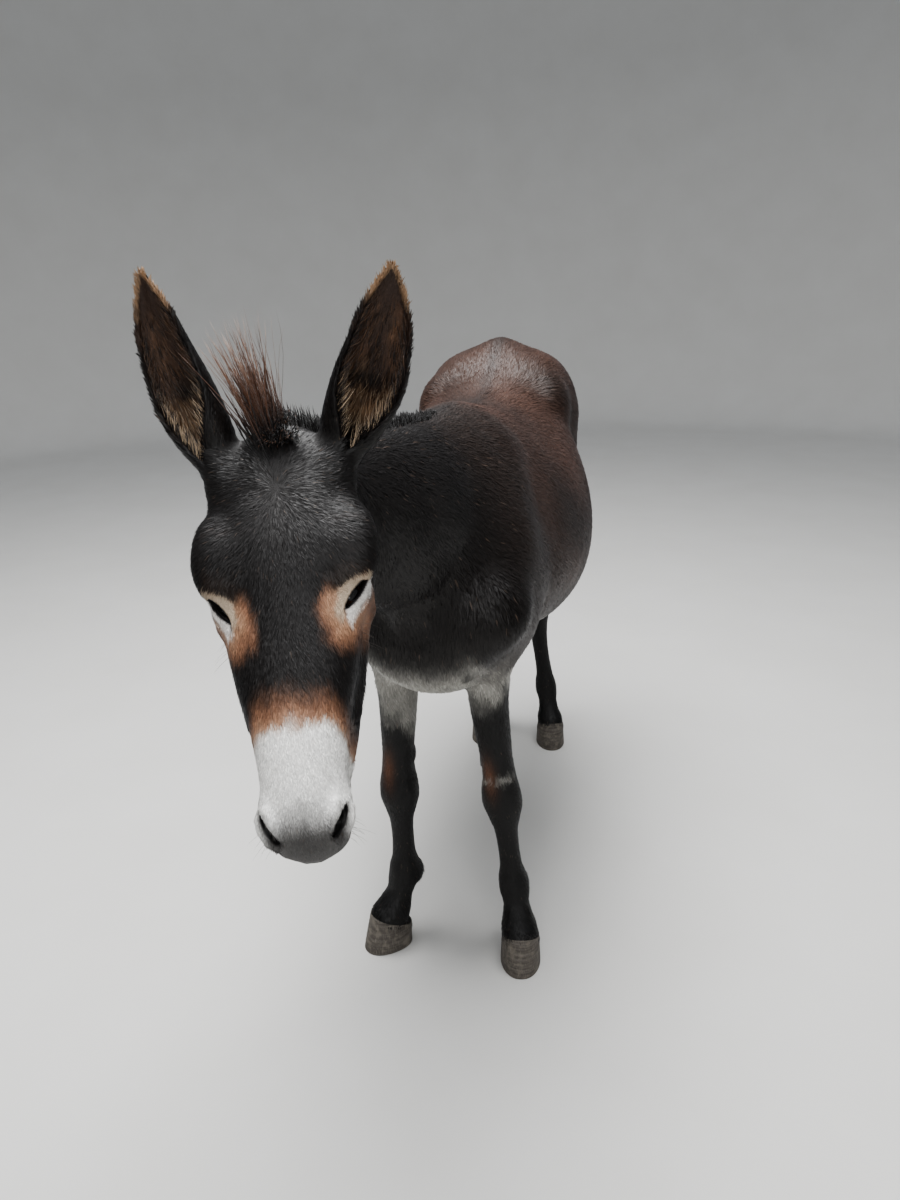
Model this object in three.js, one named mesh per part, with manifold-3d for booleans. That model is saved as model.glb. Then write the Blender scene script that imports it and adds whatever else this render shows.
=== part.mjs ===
// A standing donkey, life size, as a still museum figure: one closed solid for each part that a
// person would name. Millimetres; +X is the donkey's left, -Y is the way it faces, +Z is up, and
// the hooves stand on Z = 0. The body is described as soft volumes that melt into each other, and
// each part is a tube of rings thrown outwards onto their common surface.
import * as THREE from "three";
import { mergeVertices } from "three/addons/utils/BufferGeometryUtils.js";
import Module from "manifold-3d";

const wasm = await Module();
wasm.setup();

// ---- Driving dimensions ----------------------------------------------------------------------
const gap = 0.4; // between neighbouring parts
const left = 1;
const right = -1;
const sides = { left, right };

const pollPoint = new THREE.Vector3(-88, -458, 1178); // top of the head, between the ears
const headTurn = 14.8; // degrees, towards the donkey's left
const headDrop = 50; // degrees that the face slopes below level
const headTip = 5.2; // degrees that the head tips over, its left eye the higher one
const eyePlace = [210, -50, 70]; // along the face, above the face line, out to the side
const eyeRadius = 21;

const foreElbow = { x: 98, y: 12 };
const hindHip = { x: 118, y: 0 };
const coronet = { front: 80, back: 44 }; // heights of the hoof's upper edge
const hoof = { halfWidth: 42, toe: 56, heel: 50, flare: 34 };
// How each foot is set: outwards and backwards from under its joint, and turned out in degrees.
const stance = {
  fore: { left: { out: 62, back: 0, turn: 8 }, right: { out: -2, back: -2, turn: 42 } },
  hind: { left: { out: -8, back: 34, turn: 12 }, right: { out: -68, back: 44, turn: 4 } },
};

// Trunk, cut across its length: place along Y, then heights of the back, the widest line and the
// belly, the half width, and how round the upper and lower halves are (2 is an ellipse).
const trunkRows = [
  [-152, 850, 812, 775, 30, 2, 2],
  [-140, 905, 812, 722, 78, 2, 2],
  [-105, 965, 812, 668, 120, 2, 2],
  [-50, 1030, 812, 630, 148, 1.9, 2.1],
  [10, 1080, 810, 612, 166, 1.8, 2.2],
  [80, 1108, 808, 604, 182, 1.75, 2.1],
  [160, 1124, 805, 602, 200, 1.75, 1.85],
  [250, 1118, 800, 594, 222, 1.8, 1.85],
  [350, 1100, 795, 575, 242, 1.9, 1.95],
  [460, 1090, 790, 545, 254, 2, 2.1],
  [560, 1098, 790, 522, 256, 2, 2.1],
  [650, 1128, 800, 530, 240, 1.95, 2.1],
  [735, 1172, 830, 590, 210, 1.85, 2.1],
  [815, 1197, 865, 668, 190, 1.75, 2.1],
  [890, 1186, 890, 728, 178, 1.75, 2.1],
  [955, 1145, 900, 768, 156, 1.9, 2],
  [1005, 1080, 905, 800, 124, 2, 2],
  [1035, 1010, 905, 845, 78, 2, 2],
  [1048, 960, 905, 870, 28, 2, 2],
];
// Neck, cut across Y: place, sideways bend, heights of crest, widest line and underside, half
// width, roundness above and below.
const neckRows = [
  [140, 0, 1095, 900, 690, 128, 1.8, 2],
  [60, -2, 1118, 915, 700, 136, 1.7, 2],
  [-20, -7, 1126, 930, 735, 128, 1.6, 2],
  [-100, -18, 1132, 958, 786, 114, 1.6, 2],
  [-180, -33, 1138, 988, 836, 101, 1.6, 2],
  [-260, -51, 1146, 1018, 886, 88, 1.65, 2],
  [-340, -69, 1156, 1046, 936, 76, 1.7, 2],
  [-410, -82, 1166, 1070, 984, 66, 1.8, 2],
  [-470, -90, 1158, 1076, 1006, 54, 1.9, 2],
  [-500, -92, 1124, 1064, 1016, 36, 2, 2],
];
// Skull and jaw, cut across the face's length: place down the face from the poll, then top,
// widest line and bottom above the face line, half width, roundness above and below.
const skullRows = [
  [-32, -70, -85, -100, 15, 2, 2],
  [-20, -30, -80, -125, 40, 2, 2],
  [5, -6, -75, -140, 60, 2.1, 2],
  [45, 4, -70, -150, 74, 2.2, 2],
  [95, 8, -62, -158, 92, 2.3, 2],
  [140, 8, -52, -160, 98, 2.4, 2],
  [175, 6, -46, -158, 98, 2.2, 2],
  [215, 3, -48, -150, 86, 1.9, 2.1],
  [260, 0, -52, -138, 79, 2.1, 2.2],
  [310, -2, -54, -126, 69, 2.4, 2.3],
  [360, -4, -54, -116, 57, 2.4, 2.4],
  [410, -6, -54, -108, 50, 2.3, 2.4],
  [446, -12, -56, -104, 49, 2.2, 2.4],
  [474, -26, -62, -100, 45, 2.1, 2.3],
  [495, -46, -70, -94, 32, 2, 2],
  [504, -64, -74, -86, 12, 2, 2],
];
const jawRows = [
  [30, -80, -120, -185, 42, 2, 2],
  [70, -60, -140, -222, 56, 2, 1.8],
  [120, -50, -145, -236, 62, 2, 1.7],
  [180, -50, -140, -230, 63, 2, 1.7],
  [240, -60, -130, -206, 65, 2, 1.8],
  [300, -70, -118, -182, 68, 2, 2],
  [360, -75, -110, -160, 60, 2, 2.1],
  [410, -80, -108, -142, 47, 2, 2.1],
  [446, -84, -110, -138, 34, 2, 2.2],
  [472, -88, -108, -130, 29, 2, 2],
  [488, -98, -108, -118, 12, 2, 2],
];
// Legs, cut level: height, sideways shift, place along Y, half width, reach forwards and back.
const foreRows = [
  [790, 0, 44, 40, 56, 70],
  [730, -2, 42, 54, 78, 94],
  [680, -6, 38, 53, 74, 92],
  [630, -9, 36, 46, 61, 74],
  [570, -8, 38, 40, 49, 54],
  [510, -5, 40, 36, 40, 43],
  [455, -2, 41, 33, 34, 35],
  [410, 0, 42, 35, 34, 34],
  [380, 0, 42, 40, 37, 36],
  [350, 0, 43, 41, 37, 38],
  [320, 0, 44, 34, 30, 36],
  [290, 0, 45, 26, 24, 32],
  [250, 0, 45, 23, 21, 30],
  [205, 0, 44, 24, 22, 32],
  [175, 0, 43, 30, 28, 38],
  [150, 0, 40, 32, 29, 41],
  [125, 0, 31, 28, 26, 34],
  [105, 0, 22, 30, 36, 33],
  [85, 0, 12, 36, 46, 39],
  [60, 0, 4, 39, 44, 40],
  [30, 0, 0, 39, 38, 38],
];
const hindRows = [
  [850, -14, 900, 52, 84, 84],
  [790, -6, 896, 70, 118, 98],
  [735, 1, 890, 74, 128, 100],
  [690, 4, 884, 66, 112, 92],
  [645, 2, 888, 56, 88, 80],
  [600, -6, 906, 48, 68, 68],
  [555, -15, 930, 41, 54, 62],
  [520, -23, 948, 36, 46, 64],
  [492, -28, 960, 35, 43, 66],
  [465, -31, 966, 38, 42, 55],
  [435, -32, 969, 38, 39, 46],
  [405, -32, 970, 33, 34, 40],
  [370, -30, 970, 27, 28, 36],
  [320, -26, 970, 24, 24, 33],
  [265, -18, 970, 23, 23, 32],
  [215, -10, 969, 25, 25, 33],
  [180, -6, 966, 31, 29, 38],
  [155, -3, 961, 32, 29, 40],
  [128, 0, 948, 28, 26, 33],
  [105, 2, 936, 30, 36, 33],
  [85, 4, 925, 36, 46, 38],
  [60, 6, 917, 38, 43, 39],
  [30, 6, 913, 38, 37, 38],
];

// ---- Small tools -------------------------------------------------------------------------------
const vec = (x, y, z) => new THREE.Vector3(x, y, z);
const clamp = (value, low, high) => Math.min(high, Math.max(low, value));
const ease = (value) => {
  const t = clamp(value, 0, 1);
  return t * t * (3 - 2 * t);
};

// The rows' columns as smooth functions of the first one: a cubic through every row.
function through(rows) {
  const steps = 400;
  const sorted = [...rows].sort((a, b) => a[0] - b[0]);
  const low = sorted[0][0];
  const high = sorted.at(-1)[0];
  const slope = (i, c) => {
    const before = sorted[Math.max(i - 1, 0)];
    const after = sorted[Math.min(i + 1, sorted.length - 1)];
    return (after[c] - before[c]) / (after[0] - before[0]);
  };
  const table = [];
  for (let n = 0, i = 0; n <= steps; n++) {
    const at = low + ((high - low) * n) / steps;
    while (i < sorted.length - 2 && at > sorted[i + 1][0]) i++;
    const [a, b] = [sorted[i], sorted[i + 1]];
    const span = b[0] - a[0];
    const t = (at - a[0]) / span;
    table.push(
      a.map((_, c) => {
        if (c === 0) return at;
        const [ma, mb] = [slope(i, c) * span, slope(i + 1, c) * span];
        const bend = (1 - t) * t * ((1 - t) * (ma - (b[c] - a[c])) + t * (b[c] - a[c] - mb));
        return a[c] + (b[c] - a[c]) * t + bend;
      }),
    );
  }
  const read = (at) => {
    const place = clamp(((at - low) / (high - low)) * steps, 0, steps - 1e-6);
    const n = Math.floor(place);
    const t = place - n;
    return table[n].map((value, c) => value + (table[n + 1][c] - value) * t);
  };
  return { read, low, high };
}

// Depth outside (above 0) or inside (below 0) of a section whose reach differs up, down and
// sideways, measured along the ray from its middle.
function sectionDepth(side, up, halfWidth, reachUp, reachDown, roundUp, roundDown) {
  const reach = up > 0 ? reachUp : reachDown;
  const power = up > 0 ? roundUp : roundDown;
  const rho =
    (Math.abs(side / halfWidth) ** power + Math.abs(up / reach) ** power) ** (1 / power);
  const length = Math.hypot(side, up);
  return rho < 1e-6 ? -Math.min(halfWidth, reach) : length - length / rho;
}

// A volume cut into sections: `place` gives a point's station, sideways and upward coordinates,
// and `section` the row there as [centre side, centre up, half width, up, down, round, round].
function sliced(rows, place, section, middle, radius, blend) {
  const curve = through(rows);
  const depth = (p) => {
    const [station, side, up] = place(p);
    const row = section(curve.read(station), station);
    const past = Math.max(curve.low - station, station - curve.high, 0);
    const inside = sectionDepth(side - row[0], up - row[1], ...row.slice(2));
    return past > 0 ? Math.max(inside, 0) + past : inside;
  };
  return { depth, middle, radius, blend };
}

// An ellipsoid, with its own axes where they are given.
function ball(middle, [rx, ry, rz], blend, axes = null) {
  const q = vec(0, 0, 0);
  const depth = (p) => {
    q.subVectors(p, middle);
    const [x, y, z] = axes ? axes.map((axis) => q.dot(axis)) : [q.x, q.y, q.z];
    const rho = Math.hypot(x / rx, y / ry, z / rz);
    const length = q.length();
    return rho < 1e-6 ? -Math.min(rx, ry, rz) : length - length / rho;
  };
  return { depth, middle, radius: Math.max(rx, ry, rz), blend };
}

// A bar with round ends that tapers from one radius to the other.
function bar(from, to, fromRadius, toRadius, blend) {
  const run = to.clone().sub(from);
  const q = vec(0, 0, 0);
  const depth = (p) => {
    const t = clamp(q.subVectors(p, from).dot(run) / run.lengthSq(), 0, 1);
    q.addScaledVector(run, -t);
    return q.length() - (fromRadius + (toRadius - fromRadius) * t);
  };
  const middle = from.clone().lerp(to, 0.5);
  const radius = run.length() / 2 + Math.max(fromRadius, toRadius);
  return { depth, middle, radius, blend };
}

// The common surface of several volumes: each melts into the ones before it over its own width.
function together(volumes) {
  return (p) => {
    let best = Infinity;
    for (const v of volumes) {
      if (p.distanceTo(v.middle) - v.radius > best + v.blend) continue;
      const d = v.depth(p);
      if (best === Infinity) best = d;
      else {
        const h = Math.max(v.blend - Math.abs(best - d), 0) / v.blend;
        best = Math.min(best, d) - (h * h * v.blend) / 4;
      }
    }
    return best;
  };
}

// ---- The head's own frame ----------------------------------------------------------------------
const turn = THREE.MathUtils.degToRad(headTurn);
const drop = THREE.MathUtils.degToRad(headDrop);
const tip = THREE.MathUtils.degToRad(headTip);
const facing = vec(Math.sin(turn), -Math.cos(turn), 0);
const level = vec(Math.cos(turn), Math.sin(turn), 0);
const headLeft = level.clone().multiplyScalar(Math.cos(tip)).setZ(Math.sin(tip));
const headUp = level.clone().multiplyScalar(-Math.sin(tip)).setZ(Math.cos(tip));
const mixed = (a, first, b, second) =>
  first.clone().multiplyScalar(a).addScaledVector(second, b);
const downFace = mixed(Math.cos(drop), facing, -Math.sin(drop), headUp);
const offFace = mixed(Math.sin(drop), facing, Math.cos(drop), headUp);
const headAxes = [downFace, offFace, headLeft];
const onHead = (down, off, out) =>
  pollPoint
    .clone()
    .addScaledVector(downFace, down)
    .addScaledVector(offFace, off)
    .addScaledVector(headLeft, out);
const headPlace = (p) => {
  const q = p.clone().sub(pollPoint);
  return [q.dot(downFace), q.dot(headLeft), q.dot(offFace)];
};

// ---- The volumes of the body -------------------------------------------------------------------
const trunkSection = (r) => [0, r[2], r[4], r[1] - r[2], r[2] - r[3], r[5], r[6]];
const neckSection = (r) => [r[1], r[3], r[5], r[2] - r[3], r[3] - r[4], r[6], r[7]];
const headSection = (r) => [0, r[2], r[4], r[1] - r[2], r[2] - r[3], r[5], r[6]];
const acrossY = (p) => [p.y, p.x, p.z];

const trunkVolumes = [
  sliced(trunkRows, acrossY, trunkSection, vec(0, 450, 820), 800, 40),
  sliced(neckRows, acrossY, neckSection, vec(-30, -150, 970), 480, 60),
];
for (const s of [left, right]) {
  trunkVolumes.push(
    bar(vec(s * 62, 165, 1020), vec(s * 112, -72, 812), 50, 62, 60), // shoulder blade
    bar(vec(s * 110, -70, 805), vec(s * 106, 90, 712), 60, 50, 50), // upper arm
    ball(vec(s * 118, 70, 815), [58, 105, 120], 60), // muscle behind the shoulder
    ball(vec(s * 52, -84, 768), [56, 58, 78], 40), // breast
    ball(vec(s * 84, 830, 1040), [102, 190, 120], 50), // croup
    ball(vec(s * 134, 705, 1046), [40, 62, 52], 50), // point of the hip
    bar(vec(s * 82, 845, 985), vec(s * 128, 800, 728), 104, 56, 60), // thigh and stifle
    bar(vec(s * 72, 972, 950), vec(s * 112, 920, 735), 78, 56, 50), // buttock and hamstring
  );
}

const headVolumes = [
  sliced(skullRows, headPlace, headSection, onHead(240, -70, 0), 330, 24),
  sliced(jawRows, headPlace, headSection, onHead(260, -130, 0), 300, 30),
  ball(onHead(478, -80, 0), [24, 24, 42], 16, headAxes), // upper lip
  ball(onHead(454, -124, 0), [27, 18, 29], 14, headAxes), // chin
];
for (const s of [left, right]) {
  headVolumes.push(
    ball(onHead(150, -30, s * 82), [50, 26, 28], 30, headAxes), // brow
    ball(onHead(210, -54, s * 68), [34, 26, 19], 16, headAxes), // eye socket
    ball(onHead(130, -132, s * 54), [88, 80, 28], 24, headAxes), // cheek
    bar(onHead(95, -78, s * 86), onHead(215, -76, s * 84), 16, 13, 16), // cheek arch
    bar(onHead(225, -80, s * 79), onHead(340, -84, s * 62), 10, 4, 20), // crest of the face
    ball(onHead(456, -50, s * 33), [32, 28, 21], 14, headAxes), // nostril wing
    ball(onHead(38, -38, s * 66), [36, 32, 28], 20, headAxes), // root of the ear
  );
}

// Where a leg's middle line and turn are at a height, from how its foot is set.
function legShape(kind, side) {
  const s = sides[side];
  const foot = stance[kind][side];
  const top = kind === "fore" ? foreElbow : hindHip;
  const reach = kind === "fore" ? 600 : 560;
  const share = (z) => Math.max((reach - z) / reach, 0) ** 1.5;
  const shift = (z) => ({
    x: s * (top.x + foot.out * share(z)),
    y: top.y + foot.back * share(z),
  });
  const turned = (z) => s * THREE.MathUtils.degToRad(foot.turn) * ease((330 - z) / 230);
  return { s, shift, turned };
}

function legVolumes(kind, side) {
  const rows = kind === "fore" ? foreRows : hindRows;
  const { s, shift, turned } = legShape(kind, side);
  const ankle = through(rows).read(250); // the foot turns about the cannon bone
  const place = (p) => {
    const z = p.z;
    const at = shift(z);
    const x = (p.x - at.x) * s - ankle[1];
    const y = p.y - at.y - ankle[2];
    const a = turned(z) * s;
    return [
      z,
      x * Math.cos(a) + y * Math.sin(a) + ankle[1],
      x * Math.sin(a) - y * Math.cos(a) - ankle[2],
    ];
  };
  const section = (r) => [r[1], -r[2], r[3], r[4], r[5], 2.2, 2.1];
  const middle = vec(s * 120, ankle[2], 400);
  const leg = sliced(rows, place, section, middle, 480, 30);
  const spot = (z, out, back) => {
    const row = through(rows).read(z);
    const at = shift(z);
    return vec(at.x + s * (row[1] + out), at.y + row[2] + back, z);
  };
  const bumps =
    kind === "fore"
      ? [
          ball(spot(366, 0, 34), [16, 18, 26], 12), // bone behind the knee
          ball(spot(152, 0, 27), [22, 20, 25], 16), // back of the fetlock
          ball(spot(700, 6, 72), [34, 34, 46], 30), // elbow
        ]
      : [
          bar(spot(590, 0, 60), spot(500, 0, 62), 9, 15, 18), // cord and point of the hock
          ball(spot(155, 0, 27), [22, 20, 25], 16), // back of the fetlock
        ];
  return [leg, ...bumps];
}

// ---- Making solids -----------------------------------------------------------------------------
const toSolid = (geometry) => {
  const bare = geometry.clone();
  bare.deleteAttribute("normal");
  bare.deleteAttribute("uv");
  const merged = mergeVertices(bare, 1e-4);
  return new wasm.Manifold(
    new wasm.Mesh({
      numProp: 3,
      vertProperties: merged.attributes.position.array,
      triVerts: new Uint32Array(merged.index.array),
    }),
  );
};

const toGeometry = (solid) => {
  const mesh = solid.getMesh();
  const geometry = new THREE.BufferGeometry();
  geometry.setAttribute("position", new THREE.BufferAttribute(mesh.vertProperties, 3));
  geometry.setIndex(new THREE.BufferAttribute(mesh.triVerts, 1));
  geometry.computeVertexNormals();
  return geometry;
};

// A closed skin over rings of points that all have the same count, with a point or the ring's own
// middle at each end.
function ringSkin(rings, firstPole, lastPole) {
  const count = rings[0].length;
  const middle = (ring) => {
    const sum = vec(0, 0, 0);
    ring.forEach((p) => sum.add(p));
    return sum.divideScalar(ring.length);
  };
  const points = [...rings.flat(), firstPole ?? middle(rings[0]), lastPole ?? middle(rings.at(-1))];
  const [first, last] = [points.length - 2, points.length - 1];
  const faces = [];
  for (let r = 0; r < rings.length - 1; r++) {
    for (let i = 0; i < count; i++) {
      const a = r * count + i;
      const b = r * count + ((i + 1) % count);
      faces.push(a, b, b + count, a, b + count, a + count);
    }
  }
  const end = (rings.length - 1) * count;
  for (let i = 0; i < count; i++) {
    const next = (i + 1) % count;
    faces.push(first, next, i, last, end + i, end + next);
  }
  const geometry = new THREE.BufferGeometry().setFromPoints(points);
  geometry.setIndex(faces);
  const solid = toSolid(geometry);
  return solid.volume() > 0 ? solid : toSolid(flipped(geometry));
}

function flipped(geometry) {
  const faces = [...geometry.index.array];
  for (let i = 0; i < faces.length; i += 3) {
    const kept = faces[i + 1];
    faces[i + 1] = faces[i + 2];
    faces[i + 2] = kept;
  }
  return geometry.clone().setIndex(faces);
}

// The point where a ray from inside first leaves the surface that lies `grow` outside the volumes.
function throwOut(field, from, direction, grow) {
  const step = 6;
  const p = vec(0, 0, 0);
  const depthAt = (r) => field(p.copy(from).addScaledVector(direction, r)) - grow;
  let near = 0;
  let far = step;
  while (depthAt(far) < 0 && far < 700) {
    near = far;
    far += step;
  }
  for (let n = 0; n < 14; n++) {
    const half = (near + far) / 2;
    if (depthAt(half) < 0) near = half;
    else far = half;
  }
  return from.clone().addScaledVector(direction, (near + far) / 2);
}

// A tube whose rings lie in planes that fan through space. Each key ring has a top and a bottom
// point, the share of the way between them where its middle lies, and its sideways direction.
function tube(field, keys, count, segments, { grow = 0, inset = 0, firstPole, lastPole } = {}) {
  const tops = new THREE.CatmullRomCurve3(keys.map((k) => k.top), false, "centripetal");
  const bottoms = new THREE.CatmullRomCurve3(keys.map((k) => k.bottom), false, "centripetal");
  const asides = new THREE.CatmullRomCurve3(keys.map((k) => k.side), false, "centripetal");
  const shares = new THREE.CatmullRomCurve3(keys.map((k, i) => vec(k.share ?? 0.5, i, 0)));
  const run = keys.at(-1).top.clone().sub(keys[0].top);
  const rings = [];
  for (let r = 0; r < count; r++) {
    const t = r / (count - 1);
    const top = tops.getPoint(t);
    const bottom = bottoms.getPoint(t);
    const side = asides.getPoint(t).normalize();
    const up = top.clone().sub(bottom).normalize();
    const ahead = up.clone().cross(side);
    if (ahead.dot(run) < 0) ahead.negate();
    const middle = bottom.clone().lerp(top, shares.getPoint(t).x);
    if (r === 0) middle.addScaledVector(ahead, inset);
    if (r === count - 1) middle.addScaledVector(ahead, -inset);
    const ring = [];
    for (let i = 0; i < segments; i++) {
      const angle = (i / segments) * 2 * Math.PI;
      const direction = up
        .clone()
        .multiplyScalar(Math.cos(angle))
        .addScaledVector(side, Math.sin(angle));
      ring.push(throwOut(field, middle, direction, grow));
    }
    rings.push(ring);
  }
  return ringSkin(rings, firstPole, lastPole);
}

// ---- Trunk, neck and head ----------------------------------------------------------------------
const alongX = vec(1, 0, 0);
const upright = (topY, bottomY, topZ, bottomZ, share = 0.5, x = 0, side = alongX) => ({
  top: vec(x, topY, topZ),
  bottom: vec(x, bottomY, bottomZ),
  share,
  side,
});
const collar = upright(40, -150, 1150, 850, 0.45);
const nape = {
  top: onHead(-27, 0, 0),
  bottom: onHead(88, -245, 0),
  share: 0.55,
  side: headLeft,
};
const trunkKeys = [
  collar,
  upright(90, -140, 1150, 740, 0.4),
  upright(140, -92, 1150, 650, 0.4),
  upright(200, 0, 1150, 610, 0.42),
  upright(280, 130, 1150, 590, 0.45),
  upright(370, 280, 1140, 560, 0.48),
  upright(470, 430, 1130, 530, 0.5),
  upright(570, 560, 1130, 520, 0.5),
  upright(665, 665, 1150, 540, 0.5),
  upright(755, 755, 1190, 600, 0.5),
  upright(835, 835, 1200, 660, 0.5),
  upright(905, 905, 1190, 700, 0.5),
  upright(965, 965, 1150, 740, 0.5),
  upright(1010, 1010, 1090, 780, 0.5),
  upright(1036, 1036, 1030, 830, 0.5),
];
const neckKeys = [
  collar,
  upright(-40, -180, 1150, 860, 0.45, -9),
  upright(-140, -206, 1150, 880, 0.5, -26),
  upright(-245, -236, 1160, 905, 0.5, -48),
  upright(-345, -264, 1175, 935, 0.5, -68, vec(1, 0.14, 0.04)),
  nape,
];
const faceRing = (topAt, bottomAt, share) => ({
  top: onHead(topAt, 10, 0),
  bottom: onHead(bottomAt, -240, 0),
  share,
  side: headLeft,
});
const headKeys = [
  nape,
  faceRing(12, 118, 0.55),
  faceRing(52, 140, 0.56),
  faceRing(95, 160, 0.58),
  faceRing(140, 184, 0.6),
  faceRing(185, 214, 0.62),
  faceRing(235, 250, 0.65),
  faceRing(285, 292, 0.68),
  faceRing(335, 338, 0.7),
  faceRing(382, 382, 0.7),
  faceRing(425, 424, 0.68),
  faceRing(454, 452, 0.66),
  faceRing(476, 474, 0.64),
  faceRing(492, 490, 0.64),
];

const bodyField = together([...trunkVolumes, ...headVolumes]);
const buttockPole = throwOut(bodyField, vec(0, 1000, 910), vec(0, 1, 0), 0);
const lipPole = throwOut(bodyField, onHead(470, -80, 0), downFace, 0);
const endInset = (grow) => (grow > 0 ? -1 : gap / 2); // a grown copy also reaches past its ends
const makeTrunk = (grow) =>
  tube(bodyField, trunkKeys, 25, 26, { grow, inset: endInset(grow), lastPole: buttockPole });
const makeNeck = (grow) => tube(bodyField, neckKeys, 11, 24, { grow, inset: endInset(grow) });
const makeHead = (grow) =>
  tube(bodyField, headKeys, 28, 26, { grow, inset: endInset(grow), lastPole: lipPole });

const toPart = {};
let trunk = makeTrunk(0);
const neck = makeNeck(0);
let head = makeHead(0);

// ---- Legs and hooves ---------------------------------------------------------------------------
const legSegments = 14;

// Level rings down a leg, the last one tilted to sit on the hoof's upper edge.
function makeLeg(kind, side, grow) {
  const rows = kind === "fore" ? foreRows : hindRows;
  const field = together(legVolumes(kind, side));
  const { s, shift, turned } = legShape(kind, side);
  const curve = through(rows);
  const ankle = curve.read(250);
  const middleAt = (z) => {
    const row = curve.read(z);
    const at = shift(z);
    const spin = turned(z);
    const away = vec(0, row[2] - ankle[2], 0).applyAxisAngle(vec(0, 0, 1), spin);
    return vec(at.x + s * row[1] + away.x, at.y + ankle[2] + away.y, z);
  };
  const heights = rows.map((row) => row[0]).filter((z) => z > 90);
  const rings = heights.map((z) => {
    const middle = middleAt(z);
    return ring(middle, 0, turned(z));
  });
  const hoofTop = (coronet.front + coronet.back) / 2 + gap;
  const tilt = Math.atan2(coronet.front - coronet.back, 2 * hoof.halfWidth);
  rings.push(ring(middleAt(hoofTop + 8).setZ(hoofTop), tilt, turned(hoofTop)));
  function ring(middle, lean, spin) {
    const points = [];
    for (let i = 0; i < legSegments; i++) {
      const angle = (i / legSegments) * 2 * Math.PI;
      const direction = vec(Math.sin(angle), -Math.cos(angle), 0);
      direction.z = -direction.y * Math.tan(lean);
      direction.normalize().applyAxisAngle(vec(0, 0, 1), spin);
      points.push(throwOut(field, middle, direction, grow));
    }
    return points;
  }
  return ringSkin(rings);
}

// A hoof: an outline that is round at the toe and blunt at the heels, spreading from the coronet
// down to the floor.
function makeHoof(kind, side) {
  const rows = kind === "fore" ? foreRows : hindRows;
  const { s, shift, turned } = legShape(kind, side);
  const curve = through(rows);
  const ankle = curve.read(250);
  const low = curve.read(60);
  const at = shift(60);
  const spin = turned(0);
  const away = vec(0, low[2] - ankle[2], 0).applyAxisAngle(vec(0, 0, 1), spin);
  const middle = vec(at.x + s * low[1] + away.x, at.y + ankle[2] + away.y, 0);
  const levels = [0, 0.08, 0.4, 0.75, 1];
  const rings = levels.map((share) => {
    const points = [];
    for (let i = 0; i < 18; i++) {
      const angle = (i / 18) * 2 * Math.PI;
      const across = Math.sin(angle);
      const along = Math.cos(angle); // 1 at the toe
      const wide = hoof.halfWidth - 3 * share - (share === 0 ? 1.5 : 0);
      const toe = hoof.toe + hoof.flare * (1 - share) * 0.62 - (share === 0 ? 1.5 : 0) - 14;
      const heel = hoof.heel - 8 + 3 * share;
      const square = along > 0 ? 1 : 0.82;
      const y = along > 0 ? -along * toe : (Math.abs(along) ** square) * heel;
      const x = Math.sign(across) * Math.abs(across) ** (along > 0 ? 0.92 : 0.8) * wide;
      const slope = (coronet.front - coronet.back) / (2 * hoof.halfWidth);
      const topZ = (coronet.front + coronet.back) / 2 - y * slope;
      points.push(vec(x, y, topZ * share).applyAxisAngle(vec(0, 0, 1), spin).add(middle));
    }
    return points;
  });
  return ringSkin(rings);
}

// Everything below a plane through a point, for cutting a leg from the body.
function below(point, axis, degrees, grow) {
  const size = 1500;
  const box = new THREE.BoxGeometry(size, size, size);
  box.translate(0, 0, grow - size / 2);
  box.applyMatrix4(new THREE.Matrix4().makeRotationAxis(axis, THREE.MathUtils.degToRad(degrees)));
  box.translate(point.x, point.y, point.z);
  return toSolid(box);
}
const legCuts = {
  fore: (s, grow) => below(vec(s * 18, 0, 612), vec(0, 1, 0), -s * 22, grow),
  hind: (s, grow) => below(vec(0, 760, 672), vec(1, 0, 0), 12, grow),
};

for (const kind of ["fore", "hind"]) {
  for (const side of ["left", "right"]) {
    const whole = makeLeg(kind, side, 0);
    const cutter = legCuts[kind](sides[side], 0);
    const wider = legCuts[kind](sides[side], gap);
    toPart[`leg_${kind}_${side}`] = whole.intersect(cutter);
    toPart[`hoof_${kind}_${side}`] = makeHoof(kind, side);
    trunk = trunk.add(whole.subtract(wider)).subtract(makeLeg(kind, side, gap).intersect(wider));
  }
}

// ---- Eyes --------------------------------------------------------------------------------------
for (const side of ["left", "right"]) {
  const [down, off, out] = eyePlace;
  const centre = onHead(down, off, sides[side] * out);
  const made = (radius) => {
    const globe = new THREE.SphereGeometry(radius, 12, 8);
    globe.translate(centre.x, centre.y, centre.z);
    return toSolid(globe);
  };
  toPart[`eye_${side}`] = made(eyeRadius);
  head = head.subtract(made(eyeRadius + 1));
}

// ---- Ears --------------------------------------------------------------------------------------
const ear = { thick: 6, stations: 12, across: 9 };
// Share of the length, half width, depth of the cup, and how far round it wraps in degrees.
const earRows = [
  [0, 27, 27, 172],
  [0.08, 31, 29, 165],
  [0.2, 39, 31, 142],
  [0.32, 44, 31, 118],
  [0.45, 45, 28, 104],
  [0.6, 40, 24, 96],
  [0.75, 33, 18, 90],
  [0.88, 20, 11, 86],
  [0.96, 9, 6, 84],
  [1, 3.5, 3.5, 82],
];
// Root, tip and the way each cup opens, as places on the head and directions in space.
const earPose = {
  left: { root: [30, -40, 69], tip: vec(54, -392, 1360), opens: vec(0.48, -1, 0) },
  right: { root: [30, -40, -66], tip: vec(-252, -428, 1360), opens: vec(-0.2, -1, 0) },
};

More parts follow.
